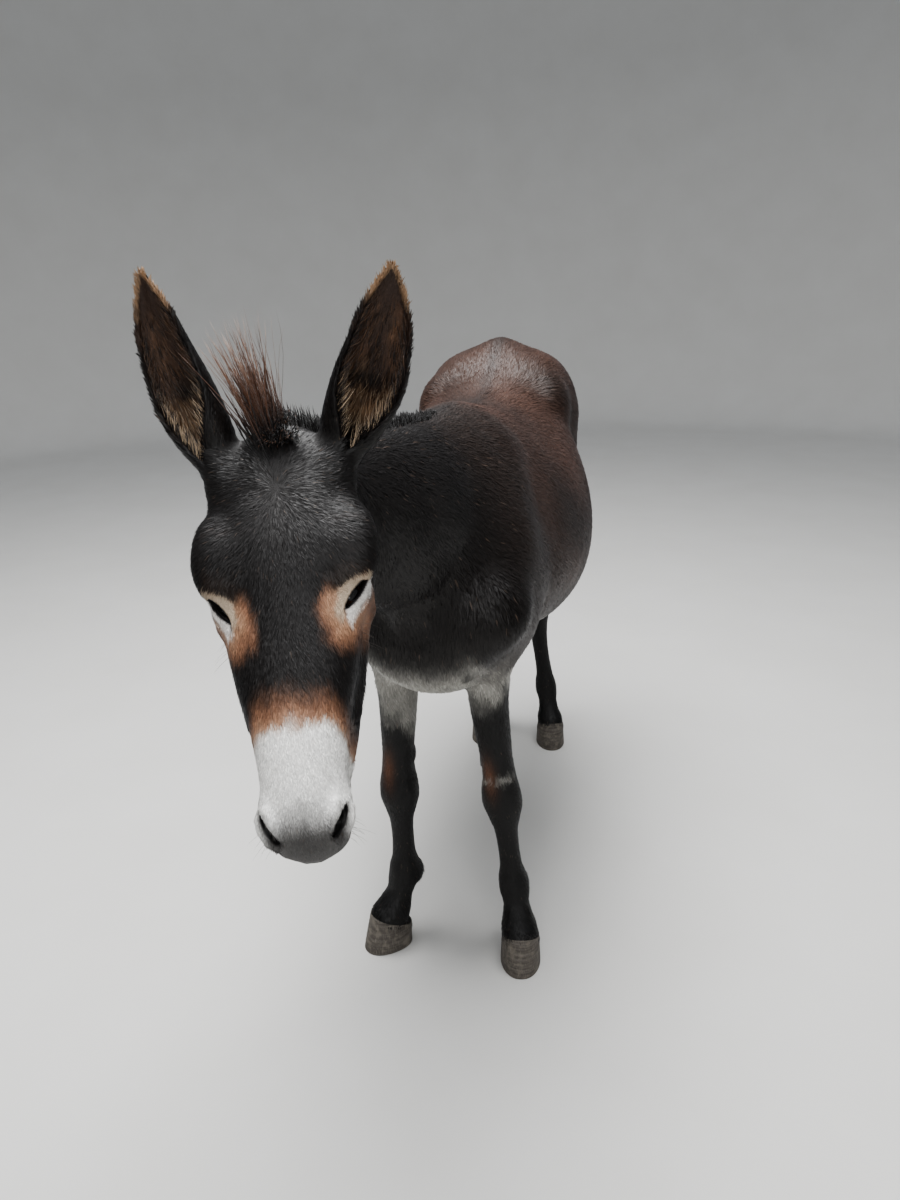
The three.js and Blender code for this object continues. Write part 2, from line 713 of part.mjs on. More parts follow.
function makeEar(side) {
  const pose = earPose[side];
  const root = onHead(...pose.root);
  const s = sides[side];
  const run = pose.tip.clone().sub(root);
  const bow = vec(s * 14, 0, 0); // the ear bows outwards a little
  const line = new THREE.CatmullRomCurve3([
    root,
    root.clone().addScaledVector(run, 0.5).add(bow),
    pose.tip,
  ]);
  const curve = through(earRows);
  const rings = [];
  for (let n = 0; n < ear.stations; n++) {
    const t = n / (ear.stations - 1);
    const [, wide, deep, wrap] = curve.read(t);
    const centre = line.getPoint(t);
    const along = line.getTangent(t);
    const opens = pose.opens.clone().addScaledVector(along, -pose.opens.dot(along)).normalize();
    const aside = along.clone().cross(opens).normalize();
    const thick = Math.min(ear.thick, wide * 0.7, deep * 0.7);
    const arc = (halfWidth, depth, from, to) => {
      const points = [];
      for (let i = 0; i < ear.across; i++) {
        const a = THREE.MathUtils.degToRad(from + ((to - from) * i) / (ear.across - 1));
        points.push(
          centre
            .clone()
            .addScaledVector(aside, halfWidth * Math.sin(a))
            .addScaledVector(opens, -depth * Math.cos(a)),
        );
      }
      return points;
    };
    rings.push([
      ...arc(wide, deep, -wrap, wrap),
      ...arc(wide - thick, deep - thick, wrap - 3, -wrap + 3),
    ]);
  }
  return ringSkin(rings);
}

const headGrown = makeHead(2 * gap);
const neckGrown = makeNeck(2 * gap);
const trunkGrown = makeTrunk(2 * gap);
for (const side of ["left", "right"]) {
  toPart[`ear_${side}`] = makeEar(side).subtract(headGrown).subtract(neckGrown);
}

// ---- Mane and tail -----------------------------------------------------------------------------
// Place along Y, sideways, lean of the tips, height of root and tips, half thickness of both.
const maneRows = [
  [-482, -90, -38, 1150, 1256, 12, 8],
  [-455, -86, -50, 1150, 1304, 16, 12],
  [-416, -86, -18, 1150, 1212, 17, 11],
  [-355, -74, -6, 1140, 1188, 15, 8],
  [-260, -52, -4, 1120, 1172, 14, 6],
  [-160, -30, -4, 1105, 1160, 13, 5],
  [-60, -12, -4, 1095, 1149, 12, 5],
  [40, -3, -3, 1090, 1133, 11, 5],
  [110, 0, -2, 1090, 1122, 9, 4],
];
function makeMane() {
  const curve = through(maneRows);
  const rings = [];
  const count = 19;
  for (let n = 0; n < count; n++) {
    const y = curve.low + ((curve.high - curve.low) * n) / (count - 1);
    const [, x, lean, root, tips, thick, thin] = curve.read(y);
    const middle = (thick + thin) / 2;
    rings.push([
      vec(x - thick, y, root),
      vec(x - middle + lean * 0.5, y, (root + tips) / 2),
      vec(x - thin + lean, y, tips - 6),
      vec(x + lean, y, tips),
      vec(x + thin + lean, y, tips - 6),
      vec(x + middle + lean * 0.5, y, (root + tips) / 2),
      vec(x + thick, y, root),
    ]);
  }
  return ringSkin(rings);
}
toPart.mane = makeMane().subtract(headGrown).subtract(neckGrown).subtract(trunkGrown);

// The tail hangs from the croup: a tapering dock, then a tuft of long hair.
const dock = new THREE.CatmullRomCurve3([
  vec(0, 950, 1092),
  vec(0, 1012, 1066),
  vec(1, 1052, 1006),
  vec(3, 1068, 900),
  vec(4, 1070, 760),
  vec(4, 1068, 620),
]);
const tuft = new THREE.CatmullRomCurve3([
  vec(4, 1068, 620 - gap),
  vec(4, 1067, 520),
  vec(3, 1066, 420),
  vec(2, 1066, 330),
]);
function makeStrand(line, radii, count, segments) {
  const rings = [];
  for (let n = 0; n < count; n++) {
    const t = n / (count - 1);
    const radius = new THREE.CatmullRomCurve3(radii.map((r, i) => vec(r, i, 0))).getPoint(t).x;
    const along = line.getTangent(t);
    const aside = vec(1, 0, 0);
    const back = along.clone().cross(aside).normalize();
    const points = [];
    for (let i = 0; i < segments; i++) {
      const angle = (i / segments) * 2 * Math.PI;
      points.push(
        line
          .getPoint(t)
          .addScaledVector(aside, radius * Math.cos(angle))
          .addScaledVector(back, radius * Math.sin(angle)),
      );
    }
    rings.push(points);
  }
  return ringSkin(rings);
}
toPart.tail = makeStrand(dock, [36, 31, 25, 20, 17, 15], 12, 10).subtract(trunkGrown);
toPart.tail_tuft = makeStrand(tuft, [15, 30, 30, 8], 8, 10);

toPart.trunk = trunk;
toPart.neck = neck;
toPart.head = head;

// ---- The group ---------------------------------------------------------------------------------
const coat = { color: 0x2a1f1b, roughness: 0.75, metalness: 0 };
const dark = { color: 0x1c1716, roughness: 0.75, metalness: 0 };
const looks = {
  hoof: { color: 0x4a4038, roughness: 0.6, metalness: 0 },
  eye: { color: 0x140e0b, roughness: 0.1, metalness: 0 },
  leg: dark,
  mane: { color: 0x3a2318, roughness: 0.85, metalness: 0 },
};
const donkey = new THREE.Group();
for (const [name, solid] of Object.entries(toPart)) {
  const look = looks[name.split("_")[0]] ?? coat;
  const mesh = new THREE.Mesh(toGeometry(solid), new THREE.MeshStandardMaterial(look));
  mesh.name = name;
  donkey.add(mesh);
}
// The origin goes under the middle of the whole figure, on the floor.
const reach = new THREE.Box3().setFromObject(donkey, true);
donkey.position.set(-(reach.min.x + reach.max.x) / 2, -(reach.min.y + reach.max.y) / 2, 0);

export default donkey;
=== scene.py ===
"""A life-size donkey: its skin, eyes, hooves and coat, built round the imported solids.

The plan is in millimetres, with the donkey facing -Y, its left along +X, and the floor at 0. Every
mesh goes into the scene in metres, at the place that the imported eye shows. The body is a set of
soft volumes that melt into each other, and one skin covers them all just inside the solids. Fur
lies over the skin as small flat tufts, and the long hair of the mane, ears and tail as solid
locks. One function colours the skin and the coat alike.
"""

import math

import bpy
import numpy as np
from mathutils import Matrix, Vector


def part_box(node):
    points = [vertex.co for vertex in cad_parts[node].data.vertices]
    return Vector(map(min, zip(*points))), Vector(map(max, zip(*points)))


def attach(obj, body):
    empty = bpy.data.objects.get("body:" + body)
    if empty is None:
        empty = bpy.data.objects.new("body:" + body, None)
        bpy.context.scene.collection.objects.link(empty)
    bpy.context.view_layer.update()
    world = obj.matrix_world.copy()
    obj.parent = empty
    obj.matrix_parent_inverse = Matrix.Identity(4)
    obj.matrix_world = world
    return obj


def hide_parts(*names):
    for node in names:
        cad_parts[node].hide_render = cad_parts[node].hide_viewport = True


bl_info = {
    "name": "Life-size donkey",
    "version": (1, 0, 0),
    "blender": (4, 5, 0),
    "location": "3D Viewport > Sidebar > Donkey",
    "description": "Builds the skin, coat, hair, eyes and hooves of a standing donkey",
    "category": "Object",
}

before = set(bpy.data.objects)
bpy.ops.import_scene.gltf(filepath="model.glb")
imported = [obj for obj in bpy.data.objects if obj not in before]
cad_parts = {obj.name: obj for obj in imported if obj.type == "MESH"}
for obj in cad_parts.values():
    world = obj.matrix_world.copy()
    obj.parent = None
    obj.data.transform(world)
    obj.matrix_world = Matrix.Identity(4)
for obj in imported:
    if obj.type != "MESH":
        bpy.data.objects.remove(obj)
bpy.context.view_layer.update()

# ---- Driving dimensions, in millimetres ------------------------------------------------------
POLL = np.array([-88.0, -458.0, 1178.0])  # top of the head, between the ears
HEAD_TURN, HEAD_DROP, HEAD_TIP = np.radians([14.8, 50.0, 5.2])
EYE = np.array([210.0, -50.0, 70.0])  # down the face, above the face line, out to the side
EYE_RADIUS = 21.0
GAZE = (0.22, 0.85, 0.48)  # the way an eye's opening faces, in the head's own directions
SLIT_HALF = 23.5  # half the length of the opening between the lids
LID_UP, LID_DOWN = 5.4, 4.6  # how far the lids part above and below the line of the corners
JOINT_AT = {"fore": (98, 12), "hind": (118, 0)}
JOINT_REACH = {"fore": 600, "hind": 560}
CORONET_FRONT, CORONET_BACK = 80, 44
FOOT = 60.0  # height at which the hoof's middle is taken from the leg
HOOF_HALF, HOOF_TOE, HOOF_HEEL, HOOF_FLARE = 42, 56, 50, 34
STANCE = {  # outwards, backwards and turned out in degrees, for each foot
    ("fore", 1): (62, 0, 8),
    ("fore", -1): (-2, -2, 42),
    ("hind", 1): (-8, 34, 12),
    ("hind", -1): (-68, 44, 4),
}
SIDE_NAME = {1: "left", -1: "right"}

# Trunk across its length: place along Y, heights of back, widest line and belly, half width,
# roundness above and below.
TRUNK_ROWS = [
    (-152, 850, 812, 775, 30, 2, 2),
    (-140, 905, 812, 722, 78, 2, 2),
    (-105, 965, 812, 668, 120, 2, 2),
    (-50, 1030, 812, 630, 148, 1.9, 2.1),
    (10, 1080, 810, 612, 166, 1.8, 2.2),
    (80, 1108, 808, 604, 182, 1.75, 2.1),
    (160, 1124, 805, 602, 200, 1.75, 1.85),
    (250, 1118, 800, 594, 222, 1.8, 1.85),
    (350, 1100, 795, 575, 242, 1.9, 1.95),
    (460, 1090, 790, 545, 254, 2, 2.1),
    (560, 1098, 790, 522, 256, 2, 2.1),
    (650, 1128, 800, 530, 240, 1.95, 2.1),
    (735, 1172, 830, 590, 210, 1.85, 2.1),
    (815, 1197, 865, 668, 190, 1.75, 2.1),
    (890, 1186, 890, 728, 178, 1.75, 2.1),
    (955, 1145, 900, 768, 156, 1.9, 2),
    (1005, 1080, 905, 800, 124, 2, 2),
    (1035, 1010, 905, 845, 78, 2, 2),
    (1048, 960, 905, 870, 28, 2, 2),
]
# Neck across Y: place, sideways bend, heights of crest, widest line and underside, half width,
# roundness above and below.
NECK_ROWS = [
    (140, 0, 1095, 900, 690, 128, 1.8, 2),
    (60, -2, 1118, 915, 700, 136, 1.7, 2),
    (-20, -7, 1126, 930, 735, 128, 1.6, 2),
    (-100, -18, 1132, 958, 786, 114, 1.6, 2),
    (-180, -33, 1138, 988, 836, 101, 1.6, 2),
    (-260, -51, 1146, 1018, 886, 88, 1.65, 2),
    (-340, -69, 1156, 1046, 936, 76, 1.7, 2),
    (-410, -82, 1166, 1070, 984, 66, 1.8, 2),
    (-470, -90, 1158, 1076, 1006, 54, 1.9, 2),
    (-500, -92, 1124, 1064, 1016, 36, 2, 2),
]
# Skull and jaw across the face's length: place down the face, top, widest line and bottom above
# the face line, half width, roundness above and below.
SKULL_ROWS = [
    (-32, -70, -85, -100, 15, 2, 2),
    (-20, -30, -80, -125, 40, 2, 2),
    (5, -6, -75, -140, 60, 2.1, 2),
    (45, 4, -70, -150, 74, 2.2, 2),
    (95, 8, -62, -158, 92, 2.3, 2),
    (140, 8, -52, -160, 98, 2.4, 2),
    (175, 6, -46, -158, 98, 2.2, 2),
    (215, 3, -48, -150, 86, 1.9, 2.1),
    (260, 0, -52, -138, 79, 2.1, 2.2),
    (310, -2, -54, -126, 69, 2.4, 2.3),
    (360, -4, -54, -116, 57, 2.4, 2.4),
    (410, -6, -54, -108, 50, 2.3, 2.4),
    (446, -12, -56, -104, 49, 2.2, 2.4),
    (474, -26, -62, -100, 45, 2.1, 2.3),
    (495, -46, -70, -94, 32, 2, 2),
    (504, -64, -74, -86, 12, 2, 2),
]
JAW_ROWS = [
    (30, -80, -120, -185, 42, 2, 2),
    (70, -60, -140, -222, 56, 2, 1.8),
    (120, -50, -145, -236, 62, 2, 1.7),
    (180, -50, -140, -230, 63, 2, 1.7),
    (240, -60, -130, -206, 65, 2, 1.8),
    (300, -70, -118, -182, 68, 2, 2),
    (360, -75, -110, -160, 60, 2, 2.1),
    (410, -80, -108, -142, 47, 2, 2.1),
    (446, -84, -110, -138, 34, 2, 2.2),
    (472, -88, -108, -130, 29, 2, 2),
    (488, -98, -108, -118, 12, 2, 2),
]
# Legs cut level: height, sideways shift, place along Y, half width, reach forwards and back.
LEG_ROWS = {
    "fore": [
        (790, 0, 44, 40, 56, 70),
        (730, -2, 42, 54, 78, 94),
        (680, -6, 38, 53, 74, 92),
        (630, -9, 36, 46, 61, 74),
        (570, -8, 38, 40, 49, 54),
        (510, -5, 40, 36, 40, 43),
        (455, -2, 41, 33, 34, 35),
        (410, 0, 42, 35, 34, 34),
        (380, 0, 42, 40, 37, 36),
        (350, 0, 43, 41, 37, 38),
        (320, 0, 44, 34, 30, 36),
        (290, 0, 45, 26, 24, 32),
        (250, 0, 45, 23, 21, 30),
        (205, 0, 44, 24, 22, 32),
        (175, 0, 43, 30, 28, 38),
        (150, 0, 40, 32, 29, 41),
        (125, 0, 31, 28, 26, 34),
        (105, 0, 22, 30, 36, 33),
        (85, 0, 12, 36, 46, 39),
        (60, 0, 4, 39, 44, 40),
        (30, 0, 0, 39, 38, 38),
    ],
    "hind": [
        (850, -14, 900, 52, 84, 84),
        (790, -6, 896, 70, 118, 98),
        (735, 1, 890, 74, 128, 100),
        (690, 4, 884, 66, 112, 92),
        (645, 2, 888, 56, 88, 80),
        (600, -6, 906, 48, 68, 68),
        (555, -15, 930, 41, 54, 62),
        (520, -23, 948, 36, 46, 64),
        (492, -28, 960, 35, 43, 66),
        (465, -31, 966, 38, 42, 55),
        (435, -32, 969, 38, 39, 46),
        (405, -32, 970, 33, 34, 40),
        (370, -30, 970, 27, 28, 36),
        (320, -26, 970, 24, 24, 33),
        (265, -18, 970, 23, 23, 32),
        (215, -10, 969, 25, 25, 33),
        (180, -6, 966, 31, 29, 38),
        (155, -3, 961, 32, 29, 40),
        (128, 0, 948, 28, 26, 33),
        (105, 2, 936, 30, 36, 33),
        (85, 4, 925, 36, 46, 38),
        (60, 6, 917, 38, 43, 39),
        (30, 6, 913, 38, 37, 38),
    ],
}
# Ears: share of the length, half width, depth of the cup, how far round it wraps in degrees.
EAR_ROWS = [
    (0, 27, 27, 172),
    (0.08, 31, 29, 165),
    (0.2, 39, 31, 142),
    (0.32, 44, 31, 118),
    (0.45, 45, 28, 104),
    (0.6, 40, 24, 96),
    (0.75, 33, 18, 90),
    (0.88, 20, 11, 86),
    (0.96, 9, 6, 84),
    (1, 3.5, 3.5, 82),
]
EAR_THICK = 6.0
EARS = {  # root on the head, tip in space, the way the cup opens
    1: ((30, -40, 69), (54, -392, 1360), (0.48, -1, 0)),
    -1: ((30, -40, -66), (-252, -428, 1360), (-0.2, -1, 0)),
}
# Mane: place along Y, middle of the crest, length of the hair.
MANE_ROWS = [
    (-490, -92, 44),
    (-462, -92, 96),
    (-432, -89, 66),
    (-395, -84, 40),
    (-345, -72, 29),
    (-260, -52, 22),
    (-160, -30, 18),
    (-60, -12, 16),
    (40, -3, 12),
    (118, 0, 6),
]
# Tail: places on the middle line of the dock, and its radius there.
DOCK = [
    (0, 950, 1092, 36),
    (0, 1012, 1066, 31),
    (1, 1052, 1006, 25),
    (3, 1068, 900, 20),
    (4, 1070, 760, 17),
    (4, 1068, 628, 14),
]
# Long hair.
SWITCH_END = 336  # height of the longest hair's tips
WISP_LENGTH = 166  # the longest of the wisps behind the poll
WISP_AT = -466  # where along Y they grow
LOCKS = {  # how many locks of long hair grow in each place
    "mane": 2430, "wisps": 270, "forelock": 520, "tail": 1300, "coronet": 620, "ear": 1500,
    "lashes": 64,
}

# ---- Small tools -------------------------------------------------------------------------------
UP = np.array([0.0, 0.0, 1.0])


def unit(v):
    """Vectors brought to length 1."""
    return v / np.maximum(np.linalg.norm(v, axis=-1, keepdims=True), 1e-9)


def ease(t):
    """0 below 0, 1 above 1, and a smooth S between: 3 t squared less 2 t cubed."""
    t = np.clip(t, 0, 1)
    return t * t * (3 - 2 * t)


def full_turn(steps):
    """Angles in equal steps all the way round."""
    return np.arange(steps) / steps * 2 * math.pi


def mix(a, b, share):
    """a where share is 0 and b where it is 1; a share for each point may mix colours."""
    share = np.asarray(share)
    a, b = np.asarray(a, float), np.asarray(b, float)
    if max(a.ndim, b.ndim) > share.ndim or (share.ndim == 1 and a.shape == b.shape == (3,)):
        share = share[..., None]
    return a + (b - a) * share


def ripple(points, size, seed):
    """A smooth random value from about -1 to 1: six sine waves of that size at random angles."""
    rng = np.random.default_rng(seed)
    ways = unit(rng.normal(size=(6, 3))) * rng.uniform(0.7, 1.5, (6, 1)) * 2 * math.pi / size
    starts = rng.uniform(0, 2 * math.pi, 6)
    total = np.zeros(len(points))
    for way, start in zip(ways, starts):
        total += np.sin(points @ way + start)
    return total / 3


class Rows:
    """The columns of a table as smooth functions of the first: a cubic through every row."""

    def __init__(self, rows, steps=400):
        table = np.array(sorted(rows), float)
        at = table[:, 0]
        span = np.diff(at)
        slope = np.empty_like(table)
        slope[1:-1] = (table[2:] - table[:-2]) / (at[2:] - at[:-2])[:, None]
        slope[0] = (table[1] - table[0]) / span[0]
        slope[-1] = (table[-1] - table[-2]) / span[-1]
        self.at = np.linspace(at[0], at[-1], steps + 1)
        i = np.clip(np.searchsorted(at, self.at, side="left") - 1, 0, len(at) - 2)
        t = ((self.at - at[i]) / span[i])[:, None]
        rise = table[i + 1] - table[i]
        first, last = slope[i] * span[i, None], slope[i + 1] * span[i, None]
        bend = (1 - t) * t * ((1 - t) * (first - rise) + t * (rise - last))
        self.columns = (table[i] + rise * t + bend).T[1:]
        self.low, self.high = at[0], at[-1]

    def read(self, at):
        """Every other column at these values of the first."""
        return np.stack([np.interp(at, self.at, column) for column in self.columns])


# ---- The head's own frame ----------------------------------------------------------------------
FACING = np.array([math.sin(HEAD_TURN), -math.cos(HEAD_TURN), 0])
LEVEL = np.array([math.cos(HEAD_TURN), math.sin(HEAD_TURN), 0])
HEAD_LEFT = LEVEL * math.cos(HEAD_TIP) + UP * math.sin(HEAD_TIP)
HEAD_UP = UP * math.cos(HEAD_TIP) - LEVEL * math.sin(HEAD_TIP)
DOWN_FACE = FACING * math.cos(HEAD_DROP) - HEAD_UP * math.sin(HEAD_DROP)
OFF_FACE = FACING * math.sin(HEAD_DROP) + HEAD_UP * math.cos(HEAD_DROP)
HEAD_AXES = np.array([DOWN_FACE, OFF_FACE, HEAD_LEFT])


def on_head(down, off, out):
    """A place on the head in the plan: down the face, off it, and out to its left."""
    return POLL + np.array([down, off, out], float) @ HEAD_AXES


def head_place(points):
    """Plan points as distances down the face, off it and out to its left."""
    return (points - POLL) @ HEAD_AXES.T


def plan_offset():
    """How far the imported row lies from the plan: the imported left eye's middle less the plan's."""
    low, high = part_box("eye_left")
    return np.array((low + high) / 2) * 1000 - on_head(*EYE)


OFFSET = plan_offset()


def to_scene(points):
    """Plan millimetres to scene metres."""
    return (np.asarray(points, float) + OFFSET) * 0.001


def to_plan(points):
    """Scene metres to plan millimetres."""
    return np.asarray(points, float) * 1000 - OFFSET


# ---- Soft volumes ------------------------------------------------------------------------------
class Volume:
    """A shape given by its depth at a point, above 0 outside, with the sphere that holds it."""

    def __init__(self, depth, middle, radius, blend):
        self.depth = depth
        self.middle = np.asarray(middle, float)
        self.radius = radius
        self.blend = blend

    def near(self, points, margin):
        """Which points are within the margin of the sphere that holds the shape."""
        away = points - self.middle
        return np.einsum("ij,ij->i", away, away) < (self.radius + margin) ** 2


def section_depth(side, up, half, reach_up, reach_down, round_up, round_down):
    """Depth in a section whose reach differs up and down, along the ray from its middle.

    The share is the sum of (side/half) and (up/reach) to the power of the roundness, rooted; the
    depth is the distance to the middle less that distance over the share.
    """
    above = up > 0
    reach = np.where(above, reach_up, reach_down)
    power = np.where(above, round_up, round_down)
    share = (np.abs(side / half) ** power + np.abs(up / reach) ** power) ** (1 / power)
    length = np.hypot(side, up)
    return length - length / np.maximum(share, 1e-6)


def sliced(rows, place, section, middle, radius, blend):
    """A volume cut into sections; place gives station, side and up, section the row's shape."""
    curve = Rows(rows)

    def depth(points):
        station, side, up = place(points)
        centre_side, centre_up, *shape = section(curve.read(station))
        inside = section_depth(side - centre_side, up - centre_up, *shape)
        past = np.maximum(curve.low - station, station - curve.high)
        return np.where(past > 0, np.maximum(inside, 0) + past, np.maximum(inside, past))

    return Volume(depth, middle, radius, blend)


def ball(middle, radii, blend, axes=None):
    """An ellipsoid, with its own axes where they are given."""
    middle = np.asarray(middle, float)
    radii = np.asarray(radii, float)

    def depth(points):
        q = points - middle
        if axes is not None:
            q = q @ axes.T
        share = np.linalg.norm(q / radii, axis=1)
        length = np.linalg.norm(q, axis=1)
        return length - length / np.maximum(share, 1e-6)

    return Volume(depth, middle, max(radii), blend)


def bar(start, end, start_radius, end_radius, blend):
    """A bar with round ends that tapers from one radius to the other."""
    start, end = np.asarray(start, float), np.asarray(end, float)
    run = end - start

    def depth(points):
        q = points - start
        t = np.clip(q @ run / (run @ run), 0, 1)
        return np.linalg.norm(q - t[:, None] * run, axis=1) - (
            start_radius + (end_radius - start_radius) * t
        )

    radius = np.linalg.norm(run) / 2 + max(start_radius, end_radius)
    return Volume(depth, (start + end) / 2, radius, blend)


def chain(places, radii, blend):
    """Bars end to end through the places, as one volume."""
    links = [
        bar(places[i], places[i + 1], radii[i], radii[i + 1], blend)
        for i in range(len(places) - 1)
    ]
    places = np.asarray(places, float)
    middle = (places.min(0) + places.max(0)) / 2
    radius = np.linalg.norm(places - middle, axis=1).max() + max(radii)
    return Volume(
        lambda points: np.min([link.depth(points) for link in links], axis=0),
        middle,
        radius,
        blend,
    )


def together(volumes):
    """The common depth of several volumes: each melts into those before it over its own width.

    Where two depths differ by less than the width, the smaller is lowered by a quarter of the
    width times the square of the share left.
    """

    def depth(points):
        best = volumes[0].depth(points)
        for v in volumes[1:]:
            away = np.sqrt(np.einsum("ij,ij->i", points - v.middle, points - v.middle))
            near = np.flatnonzero(away - v.radius <= best + v.blend)
            if len(near):
                d, b = v.depth(points[near]), best[near]
                h = np.maximum(v.blend - np.abs(b - d), 0) / v.blend
                best[near] = np.minimum(b, d) - h * h * v.blend / 4
        return best

    return depth


def carved(depth, cuts):
    """A depth with volumes cut out of it, each edge rounded over the cut's own width."""

    def cut_depth(points):
        best = depth(points)
        for cut in cuts:
            near = np.flatnonzero(cut.near(points, 3 * cut.blend + 6))
            if len(near):
                d, b = -cut.depth(points[near]), best[near]
                h = np.maximum(cut.blend - np.abs(b - d), 0) / cut.blend
                best[near] = np.maximum(b, d) + h * h * cut.blend / 4
        return best

    return cut_depth


# ---- The volumes of the body -------------------------------------------------------------------
def across_y(points):
    """Station along Y, side along X, up along Z."""
    return points[:, 1], points[:, 0], points[:, 2]


def across_face(points):
    """Station down the face, side to its left, up off it."""
    down, off, out = head_place(points).T
    return down, out, off


def trunk_section(row):
    """Middle, half width, reach up and down and roundness of a trunk, skull or jaw row."""
    top, wide, bottom, half, round_up, round_down = row
    return 0, wide, half, top - wide, wide - bottom, round_up, round_down


def neck_section(row):
    """The same for a neck row, which also bends sideways."""
    return row[0], *trunk_section(row[1:])[1:]


def trunk_volumes():
    """Trunk and neck, with the shoulder, breast, croup, hip and thigh of each side."""
    volumes = [
        sliced(TRUNK_ROWS, across_y, trunk_section, (0, 450, 820), 800, 40),
        sliced(NECK_ROWS, across_y, neck_section, (-30, -150, 970), 480, 60),
    ]
    for s in SIDE_NAME:
        volumes += [
            bar((s * 62, 165, 1020), (s * 112, -72, 812), 50, 62, 60),
            bar((s * 110, -70, 805), (s * 106, 90, 712), 60, 50, 50),
            ball((s * 118, 70, 815), (58, 105, 120), 60),
            ball((s * 52, -84, 768), (56, 58, 78), 40),
            ball((s * 84, 830, 1040), (102, 190, 120), 50),
            ball((s * 134, 705, 1046), (40, 62, 52), 50),
            bar((s * 82, 845, 985), (s * 128, 800, 728), 104, 56, 60),
            bar((s * 72, 972, 950), (s * 112, 920, 735), 78, 56, 50),
        ]
    return volumes


def head_volumes():
    """Skull, jaw and lips, with brow, socket, cheek, nostril wing and ear root of each side."""
    volumes = [
        sliced(SKULL_ROWS, across_face, trunk_section, on_head(240, -70, 0), 330, 24),
        sliced(JAW_ROWS, across_face, trunk_section, on_head(260, -130, 0), 300, 30),
        ball(on_head(478, -80, 0), (24, 24, 42), 16, HEAD_AXES),
        ball(on_head(454, -124, 0), (27, 18, 29), 14, HEAD_AXES),
    ]
    for s in SIDE_NAME:
        volumes += [
            ball(on_head(150, -30, s * 82), (50, 26, 28), 30, HEAD_AXES),
            ball(on_head(210, -54, s * 68), (34, 26, 19), 16, HEAD_AXES),
            ball(on_head(130, -132, s * 54), (88, 80, 28), 24, HEAD_AXES),
            bar(on_head(95, -78, s * 86), on_head(215, -76, s * 84), 16, 13, 16),
            bar(on_head(225, -80, s * 79), on_head(340, -84, s * 62), 10, 4, 20),
            ball(on_head(456, -50, s * 31), (32, 28, 20), 14, HEAD_AXES),
            ball(on_head(42, -38, s * 66), (42, 32, 28), 32, HEAD_AXES),
        ]
    return volumes


class Leg:
    """One leg's middle line and turn at each height, from how its foot is set."""

    def __init__(self, kind, s):
        self.kind, self.s = kind, s
        self.out, self.back, self.turn = STANCE[kind, s]
        self.joint, self.reach = JOINT_AT[kind], JOINT_REACH[kind]
        self.curve = Rows(LEG_ROWS[kind])
        self.ankle = self.curve.read(250.0)  # the foot turns about the cannon bone

    def shift(self, z):
        """Where the leg's own line stands at a height."""
        share = (np.maximum(self.reach - z, 0) / self.reach) ** 1.5
        return (
            self.s * (self.joint[0] + self.out * share),
            self.joint[1] + self.back * share,
        )

    def angle(self, z):
        """How far the leg is turned at a height, in radians."""
        return math.radians(self.turn) * ease((330 - z) / 230)

    def place(self, points):
        """Height, side and forward place of points in the leg's own sections."""
        x, y, z = points.T
        at = self.shift(z)
        side = (x - at[0]) * self.s - self.ankle[0]
        back = y - at[1] - self.ankle[1]
        a = self.angle(z)
        return (
            z,
            side * np.cos(a) + back * np.sin(a) + self.ankle[0],
            side * np.sin(a) - back * np.cos(a) - self.ankle[1],
        )

    def middle(self, z, out=0.0, back=0.0):
        """A point of the plan on the leg's middle line, moved out and back."""
        row = self.curve.read(z)
        side, away = row[0] + out - self.ankle[0], row[1] + back - self.ankle[1]
        at, a = self.shift(z), self.angle(z)
        x = side * np.cos(a) - away * np.sin(a) + self.ankle[0]
        y = side * np.sin(a) + away * np.cos(a) + self.ankle[1]
        return np.stack([at[0] + self.s * x, at[1] + y, z + 0 * x], axis=-1)

    def turned(self, x, y):
        """Distances across the foot, turned with it."""
        spin = self.s * self.angle(0.0)
        return x * math.cos(spin) - y * math.sin(spin), x * math.sin(spin) + y * math.cos(spin)

    def volume(self):
        """The leg with the small bones and the cord that show through its skin."""

        def section(row):
            return row[0], -row[1], row[2], row[3], row[4], 2.2, 2.1

        mid = (self.s * 120, self.ankle[1], 400)
        parts = [sliced(LEG_ROWS[self.kind], self.place, section, mid, 480, 30)]
        if self.kind == "fore":
            parts += [
                ball(self.middle(366.0, 0, 34), (16, 18, 26), 12),
                ball(self.middle(152.0, 0, 27), (22, 20, 25), 16),
                ball(self.middle(700.0, 6, 72), (34, 34, 46), 30),
                ball(self.middle(446.0, -30, 4), (5, 11, 18), 8),  # chestnut
            ]
        else:
            parts += [
                bar(self.middle(590.0, 0, 60), self.middle(500.0, 0, 62), 9, 15, 18),
                ball(self.middle(155.0, 0, 27), (22, 20, 25), 16),
            ]
        return Volume(together(parts), mid, 480, 26)


LEGS = [Leg(kind, s) for kind in ("fore", "hind") for s in SIDE_NAME]


